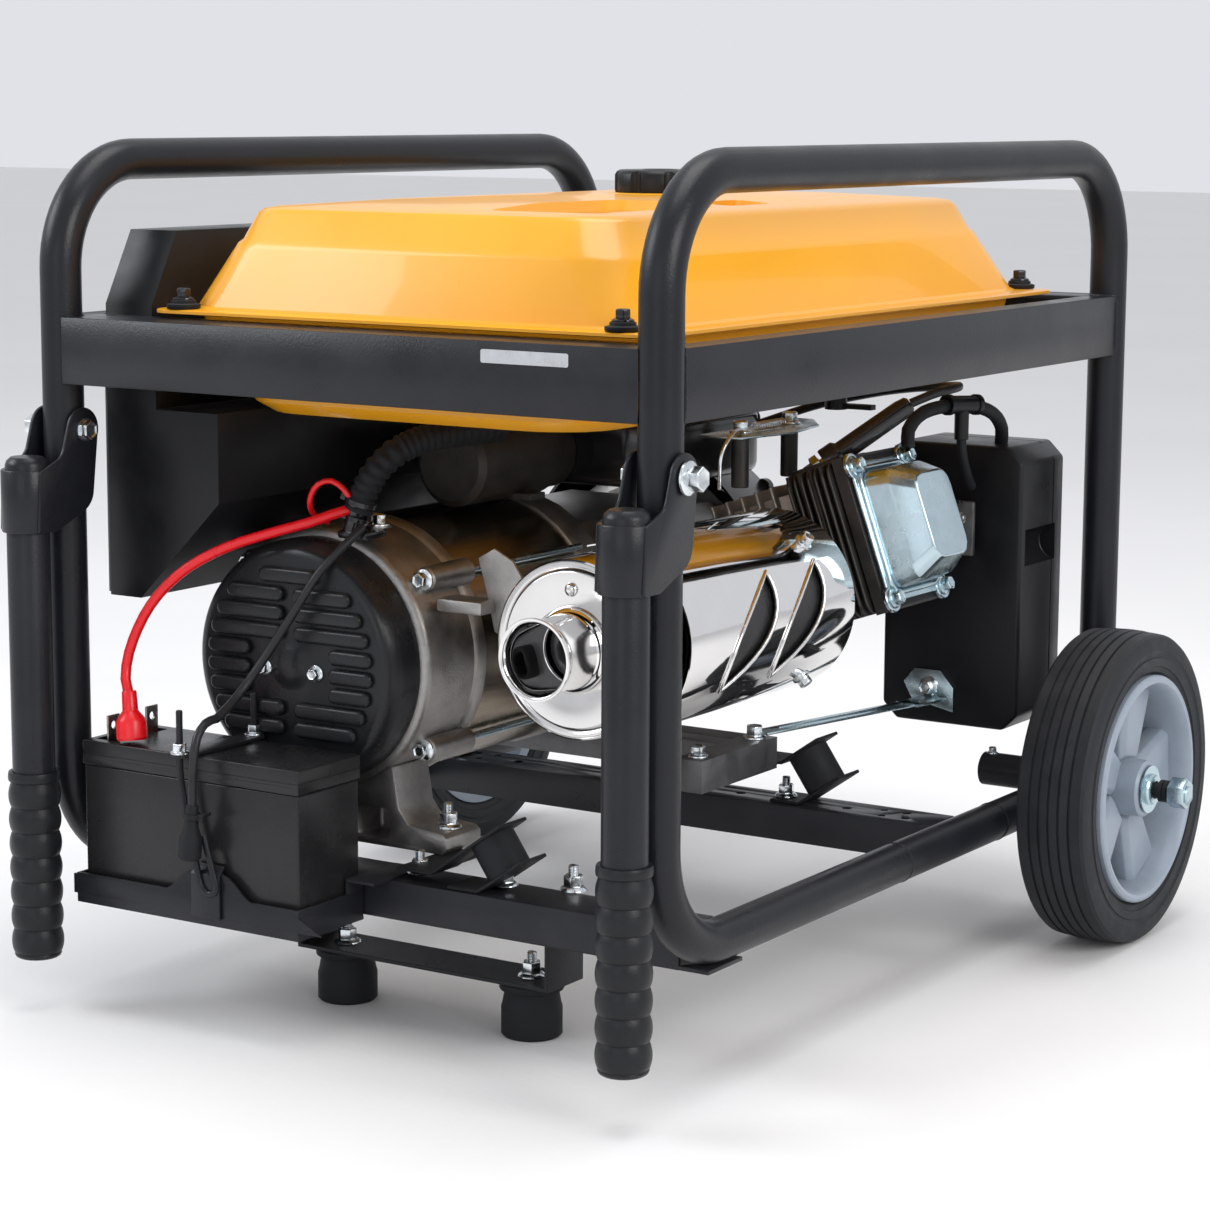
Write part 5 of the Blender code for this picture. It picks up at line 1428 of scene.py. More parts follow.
def make_heat_shield(z):
    """A rolled chrome shield round the outer half of the sleeve, with two slanted, hooded slots."""
    low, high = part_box("heat_shield")
    r = MUFFLER_Y - low.y
    shell = turned([(r - 0.0012, low.x), (r - 0.0002, low.x), (r, low.x + 0.0008), (r, high.x - 0.0008),
        (r - 0.0002, high.x), (r - 0.0012, high.x)], (0, MUFFLER_Y, z), (1, 0, 0), 144, ring=True, angle=50)
    wedge = prism([(MUFFLER_Y + 0.018, z + 0.1), (MUFFLER_Y + 0.018, z - 0.1), (MUFFLER_Y + 0.1, z - 0.1),
        (MUFFLER_Y + 0.1, z + 0.1)], "X", low.x - 0.01, high.x + 0.01)
    cut(shell, wedge)
    hoods = []
    for x in (-0.126, -0.055):
        lens = slot_outline(0.0)
        tool = prism([(u, v) for u, v in lens], "Z", 0.04, 0.09)
        placed(tool, at(x, MUFFLER_Y, z), (0, -1, 0), (1, 0, 0))
        cut(shell, tool)
        hoods.append(slot_lip(x, z, r))
    shell = smooth(shell, 50)
    fitted([shell] + hoods, "chrome_heat_shield", "chrome", "frame", "heat_shield")
    spots = []
    for x, a in ((-0.018, 132), (-0.018, 228)):
        out = Vector((0, cos(radians(a)), sin(radians(a))))
        spots.append((at(x, MUFFLER_Y, z) + out * (r - 0.0005), out, 0.009))
    fasteners("heat_shield_bolts", "bolt", spots, "frame")


def slot_outline(grow):
    """A slanted lens: two arcs that meet in points, leaning toward +X at the top."""
    points = []
    half = 0.0385 + grow
    wide = 0.0225 + grow
    reach = 0.032
    for k in range(13):
        t = -1 + 2 * k / 12
        points.append((reach * t - wide * (1 - t * t), t * half))
    for k in range(11, 0, -1):
        t = -1 + 2 * k / 12
        points.append((reach * t + wide * (1 - t * t), t * half))
    return points


def slot_lip(x, z, r):
    """A rolled lip round a slot, following the shield's curve."""
    rim = slot_outline(0.0004)
    path = []
    for u, v in rim:
        a = asin(max(-1, min(1, v / r)))
        path.append(at(x + u, MUFFLER_Y - (r + 0.0002) * cos(a), z + (r + 0.0002) * sin(a)))
    return solid_tube(path, 0.0017, 3, cyclic=True)


# ---- supports ----
def make_mounts():
    """Rubber blocks on the cross members, and the nuts that hold them."""
    for end in ("engine", "alternator"):
        for name, _ in SIDES:
            node = f"{end}_mount_{name}"
            fitted(softened(node, 0.0006, 1, 40), f"{end}_mount_plates_{name}", "rubber", "frame", node)
    member_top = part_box("front_cross_member")[1].z
    rear = middle("rear_cross_member")
    front = middle("front_cross_member")
    spots = []
    for y in (-0.08, 0.202):
        spots.append((Vector((front.x + 0.004, y, member_top + 0.003)), (0, 0, 1), 0.011))
    for y in (-0.102, 0.216):
        spots.append((Vector((rear.x, y, member_top + 0.003)), (0, 0, 1), 0.011))
    fasteners("mount_nuts", "nut", spots, "frame")


# ---- control panel ----
def make_panel():
    housing = softened("panel_housing", 0.0022, 3, 30)
    fitted(housing, "panel_back_housing", "plastic", "frame", "panel_housing")
    face_low, face_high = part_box("panel_face")
    fitted(softened("panel_face", 0.0006, 2, 30), "panel_front_plate", "panel", "frame", "panel_face")
    for number in (1, 2):
        make_outlet(number)
    key_low, key_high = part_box("engine_key")
    spot = Vector((middle("engine_key").x, key_low.y, middle("engine_key").z))
    key = turned([(0, 0), (0.0095, 0), (0.01, 0.0006), (0.01, 0.005), (0.009, 0.006), (0, 0.006)], spot,
        (0, 1, 0), 40)
    blade = block(spot + Vector((-0.0015, 0.004, -0.01)),
        Vector((spot.x + 0.0015, key_high.y, spot.z + 0.01)), 0.0006)
    fitted([key, blade], "starter_key", "plastic", "engine_key", "engine_key")
    fitted(softened("breaker_rocker", 0.0008, 3), "breaker_switch", "red", "breaker_rocker",
        "breaker_rocker")
    gauge = at(-0.1, 0, 0.41)
    face_y = 0.2478 + 0.006
    dial = turned([(0, 0), (0.0215, 0), (0.0215, 0.0008), (0, 0.0008)], (gauge.x, face_y - 0.0003, gauge.z),
        (0, 1, 0), 48)
    fitted(dial, "voltmeter_dial", "plate", "frame", slot="panel_grey")
    marks = []
    for k in range(11):
        a = radians(210 - 24 * k)
        tip = Vector((gauge.x + 0.0185 * cos(a), face_y + 0.0007, gauge.z + 0.0185 * sin(a)))
        base = Vector((gauge.x + 0.015 * cos(a), face_y + 0.0007, gauge.z + 0.015 * sin(a)))
        marks.append(rod(base, tip, 0.0004, 8, 0.0001))
    needle = rod((gauge.x, face_y + 0.0008, gauge.z), (gauge.x - 0.013, face_y + 0.0008, gauge.z - 0.0075),
        0.0006, 8, 0.0001)
    fitted(marks + [needle], "voltmeter_marks", "plastic", "frame")
    posts = []
    for x in (0.023, 0.047):
        spot = at(x, 0.2478, 0.335)
        posts.append(turned([(0, 0.0005), (0.0078, 0.0005), (0.0078, 0.004), (0.006, 0.005),
            (0.0074, 0.006), (0.0074, 0.014), (0.0064, 0.0155), (0, 0.0158)], spot, (0, 1, 0), 32))
    fitted(posts[0], "charge_post_red", "red", "frame")
    fitted(posts[1], "charge_post_black", "plastic", "frame")
    spots = [(Vector((x, face_high.y - 0.012, z)), (0, 1, 0), 0.0065)
        for x in (face_low.x + 0.008, face_high.x - 0.008)
        for z in (face_low.z + 0.008, face_high.z - 0.008)]
    spots = [(Vector((p.x, 0.2478, p.z)), way, width) for p, way, width in spots]
    fasteners("panel_screws", "screw", spots, "frame")


def make_outlet(number):
    body = f"outlet_lid_{number}"
    low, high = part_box(body)
    spot = Vector(((low.x + high.x) / 2, low.y, 0.378))
    lid = turned([(0, 0), (0.0262, 0), (0.0268, 0.0006), (0.0268, 0.003), (0.0255, 0.004), (0.018, 0.004),
        (0.0165, 0.0034), (0, 0.0034)], spot, (0, 1, 0), 64)
    tab = block((low.x + 0.017, low.y, spot.z + 0.018), (high.x - 0.017, low.y + 0.0038, high.z), 0.001)
    fitted([lid, tab], f"outlet_cover_{number}", "plastic", body, body)


# ---- battery ----
def make_battery():
    low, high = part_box("battery")
    lid_top = 0.202
    case = block((low.x + 0.001, low.y + 0.001, low.z), (high.x - 0.001, high.y - 0.001, lid_top - 0.018),
        0.0018, 3)
    lid = block((low.x, low.y, lid_top - 0.018), (high.x, high.y, lid_top), 0.0012, 3)
    groove_z = lid_top - 0.0095
    band = block((low.x - 0.01, low.y - 0.01, groove_z - 0.0004),
        (high.x + 0.01, high.y + 0.01, groove_z + 0.0004))
    core = block((low.x + 0.0005, low.y + 0.0005, groove_z - 0.002),
        (high.x - 0.0005, high.y - 0.0005, groove_z + 0.002))
    cut(band, core)
    cut(lid, band)
    for x0, x1 in ((low.x + 0.008, low.x + 0.024), (high.x - 0.024, high.x - 0.008)):
        well = block((x0, high.y - 0.027, lid_top - 0.006), (x1, high.y - 0.006, lid_top + 0.01), 0.0008)
        cut(lid, well)
    for y in (low.y + 0.03, high.y - 0.03):
        line = block((low.x - 0.002, y - 0.026, lid_top - 0.0125),
            (low.x + 0.0003, y + 0.026, lid_top - 0.012))
        cut(lid, line)
    parts = [smooth(case), smooth(lid, 30)]
    fitted(parts, "sealed_battery", "battery", "frame", "battery")
    blades = []
    for x in (low.x + 0.015, high.x - 0.015):
        blade = block((x - 0.0065, high.y - 0.018, lid_top - 0.006),
            (x + 0.0065, high.y - 0.0162, lid_top + 0.018), 0.0006)
        hole = rod((x, high.y - 0.03, lid_top + 0.0105), (x, high.y - 0.005, lid_top + 0.0105), 0.003, 24)
        blades.append(smooth(cut(blade, hole)))
    fitted(blades, "battery_terminals", "terminal", "frame")
    mark = block((high.x - 0.0225, high.y - 0.0255, lid_top - 0.0061),
        (high.x - 0.0095, high.y - 0.02, lid_top - 0.004), 0.0004)
    fitted(mark, "positive_well_mark", "red", "frame")
    make_tray()
    make_battery_strap()


def make_tray():
    """The folded tray with its raised, curved lip, its clip, and the nuts of the arms that carry it."""
    low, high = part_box("battery_tray")
    tray = softened("battery_tray", 0.0007, 2, 30)
    clip_y = 0.105
    lip = 0.103
    outline = [(low.y + 0.002, lip - 0.015)]
    steps = 26
    for k in range(steps + 1):
        y = low.y + 0.03 + (0.15 - 0.03) * k / steps
        bump = exp(-((y - clip_y) / 0.03) ** 4)
        outline.append((y, lip - 0.0005 + 0.019 * bump))
    outline += [(high.y - 0.004, lip - 0.0005), (high.y - 0.004, lip - 0.015)]
    flap = prism(outline, "X", low.x - 0.0006, low.x + 0.0018)
    fitted([tray, rounded(flap, 0.0005, 2, 50)], "folded_battery_tray", "tube", "frame", "battery_tray")
    clip = prism([(low.x - 0.0035, 0.088), (low.x - 0.0015, 0.087), (low.x - 0.0012, 0.118),
        (low.x + 0.004, 0.1245), (low.x + 0.003, 0.1262), (low.x - 0.0035, 0.119)], "Y", clip_y - 0.013,
        clip_y + 0.013)
    fitted(rounded(clip, 0.0006, 2), "tray_clip", "tube", "frame")
    arm_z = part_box("front_cross_member")[1].z + 0.0025
    spots = [(Vector((middle("front_cross_member").x + 0.001, y, arm_z)), (0, 0, 1), 0.0115)
        for y in (low.y - 0.0085, high.y + 0.003)]
    fasteners("tray_arm_nuts", "nut", spots, "frame")


def make_battery_strap():
    """The flat strap over the battery, its two threaded rods and their nuts."""
    low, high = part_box("battery_clamp")
    base = 0.2023
    y = middle("battery_clamp").y
    strap = prism(rounded_corners(low.x, high.x, y - 0.0095, y + 0.0095, 0.0075, 5), "Z", base, base + 0.0025)
    studs = []
    front_x = at(-0.3755, 0, 0).x
    back_x = at(-0.2925, 0, 0).x
    for x in (front_x, back_x):
        thread = [(0, base - 0.012)]
        for k in range(26):
            thread += [(0.0022, base - 0.0118 + 0.0017 * k), (0.0026, base - 0.011 + 0.0017 * k)]
        tip = base + 0.034
        thread = [p for p in thread if p[1] < tip - 0.001] + [(0.0021, tip - 0.0005), (0, tip)]
        studs.append(turned(thread, (x, y, 0), (0, 0, 1), 16, angle=60))
    strap = rounded(strap, 0.0005, 2)
    fitted([strap] + studs, "battery_strap", "tube", "frame", "battery_clamp")
    nuts = []
    for x in (front_x, back_x):
        nuts.append((Vector((x, y, base + 0.0025)), (0, 0, 1), 0.0088))
    fasteners("battery_strap_nuts", "bolt", nuts, "frame")
    hook = smooth_route([(front_x, y, base - 0.01), (front_x - 0.0005, y - 0.002, 0.18),
        (front_x - 0.0005, y - 0.008, 0.15), (front_x - 0.0005, y - 0.015, 0.122),
        (front_x - 0.0005, y - 0.0185, 0.111), (front_x - 0.0003, y - 0.025, 0.106),
        (front_x - 0.0003, y - 0.032, 0.11), (front_x - 0.0003, y - 0.029, 0.122),
        (front_x - 0.0003, y - 0.021, 0.148)], 0.003)
    hook = [Vector((max(p.x, CAD_BOX[0][0] + 0.0027), p.y, p.z)) for p in hook]
    fitted(solid_tube(hook, 0.0025, 5), "strap_hook_rod", "tube", "frame")
    rear = solid_tube([Vector((back_x, y, base - 0.01)), Vector((back_x, y, 0.15))], 0.0024, 4)
    fitted(rear, "strap_rear_rod", "tube", "frame")


# ---- wiring and hoses ----
LOOM = at(-0.252, 0.06, 0.372)
RED_ROUTE = [(-0.252, 0.06, 0.372), (-0.262, 0.07, 0.369), (-0.275, 0.086, 0.362), (-0.29, 0.11, 0.354),
    (-0.308, 0.138, 0.343), (-0.324, 0.164, 0.326), (-0.336, 0.184, 0.302), (-0.344, 0.196, 0.274),
    (-0.35, 0.198, 0.25), (-0.355, 0.19, 0.234),]
BLACK_ROUTE = [(-0.262, 0.048, 0.36), (-0.276, 0.054, 0.348), (-0.292, 0.066, 0.328), (-0.3, 0.082, 0.3),
    (-0.308, 0.098, 0.272), (-0.32, 0.108, 0.25), (-0.338, 0.11, 0.236), (-0.356, 0.109, 0.228),]


def free_cord(name, route, radius, finish, spacing, replaced=(), resolution=4):
    points = smooth_route([at(*knot) for knot in route], spacing)
    cord = tube(points, radius, resolution)
    fitted(cord, name, finish, "frame", *replaced, slot="red_plastic" if finish == "red" else "black_plastic")
    return points


def make_battery_cables():
    free_cord("battery_cable_positive", RED_ROUTE, 0.0038, "red", 0.009, ["battery_cable_red"])
    free_cord("battery_cable_negative", BLACK_ROUTE, 0.0032, "black_wire", 0.009, ["battery_cable_black"])


# ---- loom, boots, plug lead and hoses ----
radiusOUTE = [(-0.252, 0.06, 0.37), (-0.25, 0.055, 0.385), (-0.246, 0.047, 0.4), (-0.235, 0.037, 0.413),
    (-0.214, 0.027, 0.421), (-0.18, 0.02, 0.423), (-0.138, 0.016, 0.423),]
CHARGE_ROUTE = [(-0.256, 0.06, 0.372), (-0.261, 0.065, 0.385), (-0.266, 0.074, 0.392),
    (-0.27, 0.084, 0.388), (-0.269, 0.091, 0.376), (-0.261, 0.093, 0.365), (-0.25, 0.089, 0.359),]
TAIL_ROUTE = [(-0.356, 0.109, 0.2285), (-0.368, 0.1085, 0.227), (-0.378, 0.108, 0.218),
    (-0.383, 0.1075, 0.201), (-0.385, 0.107, 0.183), (-0.3858, 0.1065, 0.166),]
PLUG_ROUTE = [(0.1255, -0.19, 0.432), (0.136, -0.206, 0.44), (0.152, -0.214, 0.443), (0.172, -0.208, 0.443),
    (0.192, -0.185, 0.44), (0.205, -0.15, 0.436), (0.213, -0.11, 0.429), (0.216, -0.06, 0.417),
    (0.215, -0.01, 0.4), (0.211, 0.03, 0.385), (0.206, 0.058, 0.3725),]
BREATHER_ROUTE = [(0.15, -0.176, 0.395), (0.157, -0.173, 0.409), (0.178, -0.177, 0.421),
    (0.215, -0.19, 0.424), (0.245, -0.2, 0.417), (0.267, -0.2, 0.403), (0.276, -0.196, 0.387),]
VENT_ROUTE = [(0.215, -0.19, 0.398), (0.217, -0.19, 0.386), (0.227, -0.189, 0.369), (0.24, -0.188, 0.3555),]


def make_conduit():
    """The ribbed conduit over the loom: its radius rises and falls along the route."""
    radius = bpy.context.scene.generator_sizes.conduit_radius
    points = smooth_route([at(*knot) for knot in radiusOUTE], 0.0011)
    swell = [1.0 if k % 4 < 2 else 0.87 for k in range(len(points))]
    conduit = tube(points, radius, 6, swell=swell)
    fitted(conduit, "ribbed_conduit", "rubber", "frame")
    neck = turned([(0, -0.019), (0.007, -0.019), (0.0074, -0.016), (0.0068, -0.004), (0.0092, 0.0),
        (0.0092, 0.007), (0, 0.008)], LOOM, (0.1, -0.25, 1), 32)
    plate = block(at(-0.262, 0.046, 0.35), at(-0.236, 0.072, 0.356), 0.002)
    fitted([neck, plate], "loom_connector", "gloss", "frame")
    ties = [cable_tie(points[4], points[5] - points[4], radius + 0.0002),
        cable_tie(LOOM + Vector((-0.0004, 0.001, -0.008)), Vector((0.1, -0.25, 1)), 0.0072)]
    fitted(ties, "loom_ties", "gloss", "frame")


def cable_tie(spot, along, radius):
    """A thin band with its square head and a cut tail."""
    band = turned([(radius, -0.0017), (radius + 0.0011, -0.0017), (radius + 0.0011, 0.0017),
        (radius, 0.0017)], spot, along, 32, ring=True)
    head = block((-0.003, radius, -0.0026), (0.003, radius + 0.0046, 0.0026), 0.0006)
    tail = block((0.0026, radius + 0.002, -0.0013), (0.012, radius + 0.003, 0.0013), 0.0003)
    for part in (head, tail):
        placed(part, spot, along, (1, 0.2, 0))
    return joined("tie", [band, head, tail])


def boot(spot, along, length, root, mouth):
    """A soft sleeve that widens in two steps over a terminal."""
    return turned([(0, 0), (root, 0), (root + 0.0006, 0.001), (root + 0.001, length * 0.4),
        (mouth - 0.0012, length * 0.55), (mouth, length * 0.64), (mouth, length - 0.0016),
        (mouth - 0.0012, length), (0, length)], spot, along, 32)


def make_boots():
    red_end = at(-0.355, 0.1905, 0.24)
    red_boot = boot(red_end, (-0.1, -0.15, -1), 0.036, 0.0048, 0.0112)
    fitted(red_boot, "positive_boot", "red", "frame")
    black_boot = boot(at(-0.3856, 0.1065, 0.172), (0.02, 0.1, -1), 0.04, 0.004, 0.0082)
    tie = cable_tie(at(-0.3856, 0.1065, 0.164), Vector((0.02, 0.1, -1)), 0.0052)
    fitted([black_boot, tie], "negative_boot", "rubber", "frame")
    free_cord("negative_tail", TAIL_ROUTE, 0.0032, "black_wire", 0.006)
    free_cord("charge_wire", CHARGE_ROUTE, 0.0021, "red", 0.005)
    ring = turned([(0.0052, 0), (0.0092, 0), (0.0092, 0.0012), (0.0052, 0.0012)], at(-0.233, 0.056, 0.3562),
        (0, 0, 1), 28, ring=True)
    crimp = rod(at(-0.233, 0.064, 0.3568), at(-0.233, 0.083, 0.359), 0.0032, 20)
    fitted([ring, crimp], "earth_terminal", "terminal", "frame")
    fasteners("earth_bolt", "bolt", [(at(-0.233, 0.056, 0.3574), (0, 0, 1), 0.01)], "frame")


def make_plug_lead():
    """The spark plug's cap, its lead to the starter housing, and the clip that holds the lead."""
    low = at(0.09, -0.135, 0.385)
    high = at(0.1255, -0.19, 0.432)
    along = high - low
    length = along.length
    cap = turned([(0, 0), (0.0108, 0), (0.0114, 0.0012), (0.0114, 0.012), (0.0102, 0.0135), (0.0086, 0.015),
        (0.0082, length - 0.01), (0.007, length - 0.002), (0.0048, length), (0, length)], low, along, 40)
    fitted(cap, "spark_plug_cap", "gloss", "frame")
    plug = turned([(0, -0.016), (0.007, -0.016), (0.007, -0.01), (0.0104, -0.009), (0.0104, -0.003),
        (0.005, -0.002), (0.005, 0.002), (0, 0.002)], low, along, 6, angle=20)
    fitted(plug, "spark_plug", "bolt", "frame")
    free_cord("plug_lead", PLUG_ROUTE, 0.0036, "black_wire", 0.008)
    clip = cable_tie(at(0.2143, 0.0, 0.4035), Vector((0, 1, -0.3)), 0.0038)
    fitted(clip, "plug_lead_tie", "gloss", "frame")


def make_hoses():
    free_cord("breather_hose", BREATHER_ROUTE, 0.0055, "rubber", 0.007)
    free_cord("carburettor_vent_hose", VENT_ROUTE, 0.004, "rubber", 0.005)
    joint = at(0.215, -0.19, 0.424)
    across = Vector((0.95, -0.3, -0.05)).normalized()
    parts = [rod(joint - across * 0.016, joint + across * 0.016, 0.0074, 28),
        rod(joint, joint - Vector((0, 0, 0.028)), 0.0058, 24)]
    for shift in (-0.016, 0.016):
        parts.append(turned([(0.0062, -0.0022), (0.0084, -0.0022), (0.0084, 0.0022), (0.0062, 0.0022)],
            joint + across * shift, across, 28, ring=True))
    fitted(parts, "breather_tee", "plastic", "frame")


def make_fuel_tap():
    """The tap under the tank: a turned spigot with a collar, and its outlet barb."""
    spigot = turned([(0, 0.4335), (0.01, 0.4335), (0.0104, 0.4342), (0.0104, 0.4415), (0.0125, 0.442),
        (0.0125, 0.4452), (0, 0.4452)], at(0.17, -0.1, 0), (0, 0, 1), 32)
    barb = rod(at(0.17, -0.092, 0.4388), at(0.17, -0.074, 0.4388), 0.0038, 20)
    fitted([spigot, barb], "fuel_tap_body", "casting", "frame")


def make_shroud():
    """The cooling duct over the cylinder, the starter motor, and the governor's plate and arm."""
    duct = prism(rounded_corners(0.006 + FRAME_X, 0.188 + FRAME_X, -0.03, 0.17, 0.03, 5), "Z", 0.364, 0.418)
    rounded(duct, 0.008, 3, 40)
    bulge = turned([(0, 0), (0.046, 0), (0.05, 0.004), (0.05, 0.012), (0.044, 0.018), (0, 0.02)],
        at(0.1, 0.075, 0.415), (0, 0, 1), 48)
    motor = turned([(0, 0), (0.027, 0), (0.032, 0.004), (0.032, 0.105), (0.029, 0.1085), (0.029, 0.13),
        (0.024, 0.134), (0, 0.134)], at(-0.125, 0.07, 0.39), (1, 0, 0), 48)
    strap = prism([(CRANK_Y - 0.064, 0.36), (CRANK_Y + 0.01, 0.36), (CRANK_Y + 0.01, 0.365),
        (CRANK_Y - 0.064, 0.365)], "X", FRAME_X - 0.07, FRAME_X - 0.05)
    fitted([duct, bulge], "cooling_duct", "gloss", "frame")
    fitted([motor, rounded(strap, 0.0008, 2)], "starter_motor", "dark_casting", "frame")
    plate = prism([(x + FRAME_X, y) for x, y in ((0.03, -0.094), (0.09, -0.106), (0.15, -0.096),
        (0.188, -0.07), (0.188, -0.048), (0.135, -0.056), (0.03, -0.056))], "Z", 0.406, 0.4078)
    post = rod(at(0.06, -0.076, 0.365), at(0.06, -0.076, 0.4064), 0.007, 24)
    second = rod(at(0.148, -0.07, 0.365), at(0.148, -0.07, 0.4064), 0.007, 24)
    fitted(rounded(plate, 0.0005, 2), "governor_plate", "zinc", "frame")
    fitted([post, second], "governor_posts", "dark_casting", "frame")
    arm = solid_tube(smooth_route([at(0.005, -0.09, 0.37), at(0.002, -0.093, 0.396),
        at(0.014, -0.095, 0.411), at(0.042, -0.086, 0.412), at(0.052, -0.082, 0.4078)], 0.002), 0.0016, 4)
    fitted(arm, "governor_rod", "bolt", "frame")
    coils = []
    for k in range(120):
        a = tau * 12 * k / 120
        coils.append(at(0.07 + 0.045 * k / 120, -0.083 + 0.0032 * cos(a), 0.4122 + 0.0032 * sin(a)))
    fitted(solid_tube(coils, 0.0005, 2), "governor_spring", "bolt", "frame")
    fasteners("governor_bolts", "bolt",
        [(at(0.06, -0.076, 0.4078), (0, 0, 1), 0.011), (at(0.148, -0.07, 0.4078), (0, 0, 1), 0.011)],
        "frame")


def make_wiring():
    make_battery_cables()
    make_conduit()
    make_boots()
    make_plug_lead()
    make_hoses()
    make_fuel_tap()
    make_shroud()


# ---- stage ----
def make_stage(look):
    bpy.ops.object.select_all(action="DESELECT")
    bpy.ops.mesh.primitive_plane_add(size=40, location=(0, 0, -0.0003))
    floor = named("pale_floor")
    bpy.ops.object.transform_apply(location=True)
    floor.data.materials.append(surface("pale_floor_paint", (0.8, 0.79, 0.78), 0.75, mottle=0.02,
        mottle_size=0.8, grain=0.0004, grain_size=0.01))
    scene = bpy.context.scene
    world = scene.world or bpy.data.worlds.new("studio")
    scene.world = world
    world.use_nodes = True
    sky = world.node_tree.nodes["Background"]
    sky.inputs["Color"].default_value = (0.93, 0.95, 1.0, 1)
    sky.inputs["Strength"].default_value = look.sky
    scene.view_settings.view_transform = "Standard"
    target = at(-0.02, 0, 0.3)
    softboxes = [("left_softbox", (-1.6, 2.3, 2.0), 1.8, 1.2, 44.0, (0.92, 0.96, 1.0)),
        ("right_softbox", (-0.9, -2.9, 1.7), 1.6, 1.4, 44.0, (1.0, 0.985, 0.96)),
        ("overhead_softbox", (0.1, -0.2, 3.0), 2.2, 1.6, 40.0, (1.0, 1.0, 1.0)),
        ("front_fill", (-3.2, -0.6, 1.0), 1.4, 1.0, 5.0, (0.95, 0.97, 1.0)),]
    for name, place, wide, deep, power, colour in softboxes:
        light = bpy.data.lights.new(name, "AREA")
        light.shape = "RECTANGLE"
        light.size = wide
        light.size_y = deep
        light.energy = power * look.light
        light.color = colour
        lamp = bpy.data.objects.new(name, light)
        lamp.location = place
        lamp.rotation_euler = (target - Vector(place)).to_track_quat("-Z", "Y").to_euler()
        scene.collection.objects.link(lamp)
    make_camera(look)


def make_camera(look):
    camera = bpy.data.cameras.new("front_view")
    camera.lens = look.lens
    camera.sensor_width = 36.0
    camera.clip_end = 50.0
    heading, pitch, roll = (radians(a) for a in (look.heading, look.pitch, look.roll))
    forward = Vector((cos(pitch) * cos(heading), cos(pitch) * sin(heading), -sin(pitch)))
    right = Vector((sin(heading), -cos(heading), 0))
    up = right.cross(forward)
    turned_right = right * cos(roll) + up * sin(roll)
    turned_up = up * cos(roll) - right * sin(roll)
    viewer = bpy.data.objects.new("front_view", camera)
    bpy.context.scene.collection.objects.link(viewer)
    viewer.matrix_world = Matrix.Translation(look.viewpoint) @ Matrix((turned_right, turned_up,
        -forward)).transposed().to_4x4()
    bpy.context.scene.camera = viewer


# ---- the add-on ----
class GeneratorColours(bpy.types.PropertyGroup):
    tank: FloatVectorProperty(name="Tank enamel", description="Colour of the painted tank", subtype="COLOR",
        default=(0.82, 0.36, 0.008), min=0, max=1)
    wheel: FloatVectorProperty(name="Wheel plastic", description="Colour of the spoked rims",
        subtype="COLOR", default=(0.27, 0.315, 0.375), min=0, max=1)
    red: FloatVectorProperty(name="Red insulation", description="Colour of the positive cable and its boot",
        subtype="COLOR", default=(0.72, 0.004, 0.01), min=0, max=1)


class GeneratorSizes(bpy.types.PropertyGroup):
    grip_ribs: IntProperty(name="Grip ribs", description="How many ribs each handle grip has", default=7,
        min=3, max=12)
    louvre_pitch: FloatProperty(name="Louvre pitch", description="Distance between rows of louvres",
        unit="LENGTH", default=0.014, min=0.012, max=0.016)
    conduit_radius: FloatProperty(name="Conduit radius", description="Outer radius of the ribbed conduit",
        unit="LENGTH", default=0.0108, min=0.006, max=0.014)


class GeneratorLook(bpy.types.PropertyGroup):
    viewpoint: FloatVectorProperty(name="Viewpoint", description="Where the camera stands",
        subtype="TRANSLATION", unit="LENGTH", default=(-2.0228, -1.3057, 0.6642))
    heading: FloatProperty(name="Heading", description="Camera heading from +X toward +Y, in degrees",
        default=32.781)
    pitch: FloatProperty(name="Pitch", description="How far the camera looks down, in degrees", default=9.167)
    roll: FloatProperty(name="Roll", description="Camera roll, in degrees", default=0.285)
    lens: FloatProperty(name="Lens", description="Focal length in millimetres", default=93.35, min=10)
    sky: FloatProperty(name="Sky strength", description="Brightness of the surroundings", default=0.8, min=0)
    light: FloatProperty(name="Light strength", description="Scales all the softboxes", default=1.0, min=0)


class GENERATOR_OT_stage(bpy.types.Operator):
    """Adds the floor, the studio lights and the camera"""
    bl_idname = "generator.stage"
    bl_label = "Stage"

    def execute(self, context):
        make_stage(context.scene.generator_look)
        return {"FINISHED"}


class GENERATOR_OT_finishes(bpy.types.Operator):
    """Makes every finish used on the machine"""
    bl_idname = "generator.finishes"
    bl_label = "Finishes"

    def execute(self, context):
        prepare_finishes(context.scene.generator_colours)
        return {"FINISHED"}


class GENERATOR_OT_wiring(bpy.types.Operator):
    """Adds the battery cables, the loom and the hoses"""
    bl_idname = "generator.wiring"
    bl_label = "Wiring"

    def execute(self, context):
        make_wiring()
        return {"FINISHED"}


class GENERATOR_OT_frame_tubes(bpy.types.Operator):
    """Adds the two tube loops and their welds"""
    bl_idname = "generator.frame_tubes"
    bl_label = "Frame tubes"

    def execute(self, context):
        make_frame_tubes()
        return {"FINISHED"}


class GENERATOR_OT_rails(bpy.types.Operator):
    """Adds the tank rails, cross members and foot bracket"""
    bl_idname = "generator.rails"
    bl_label = "Rails"

    def execute(self, context):
        make_rails()
        return {"FINISHED"}


class GENERATOR_OT_feet(bpy.types.Operator):
    """Adds the two rubber feet"""
    bl_idname = "generator.feet"
    bl_label = "Feet"

    def execute(self, context):
        make_feet()
        return {"FINISHED"}


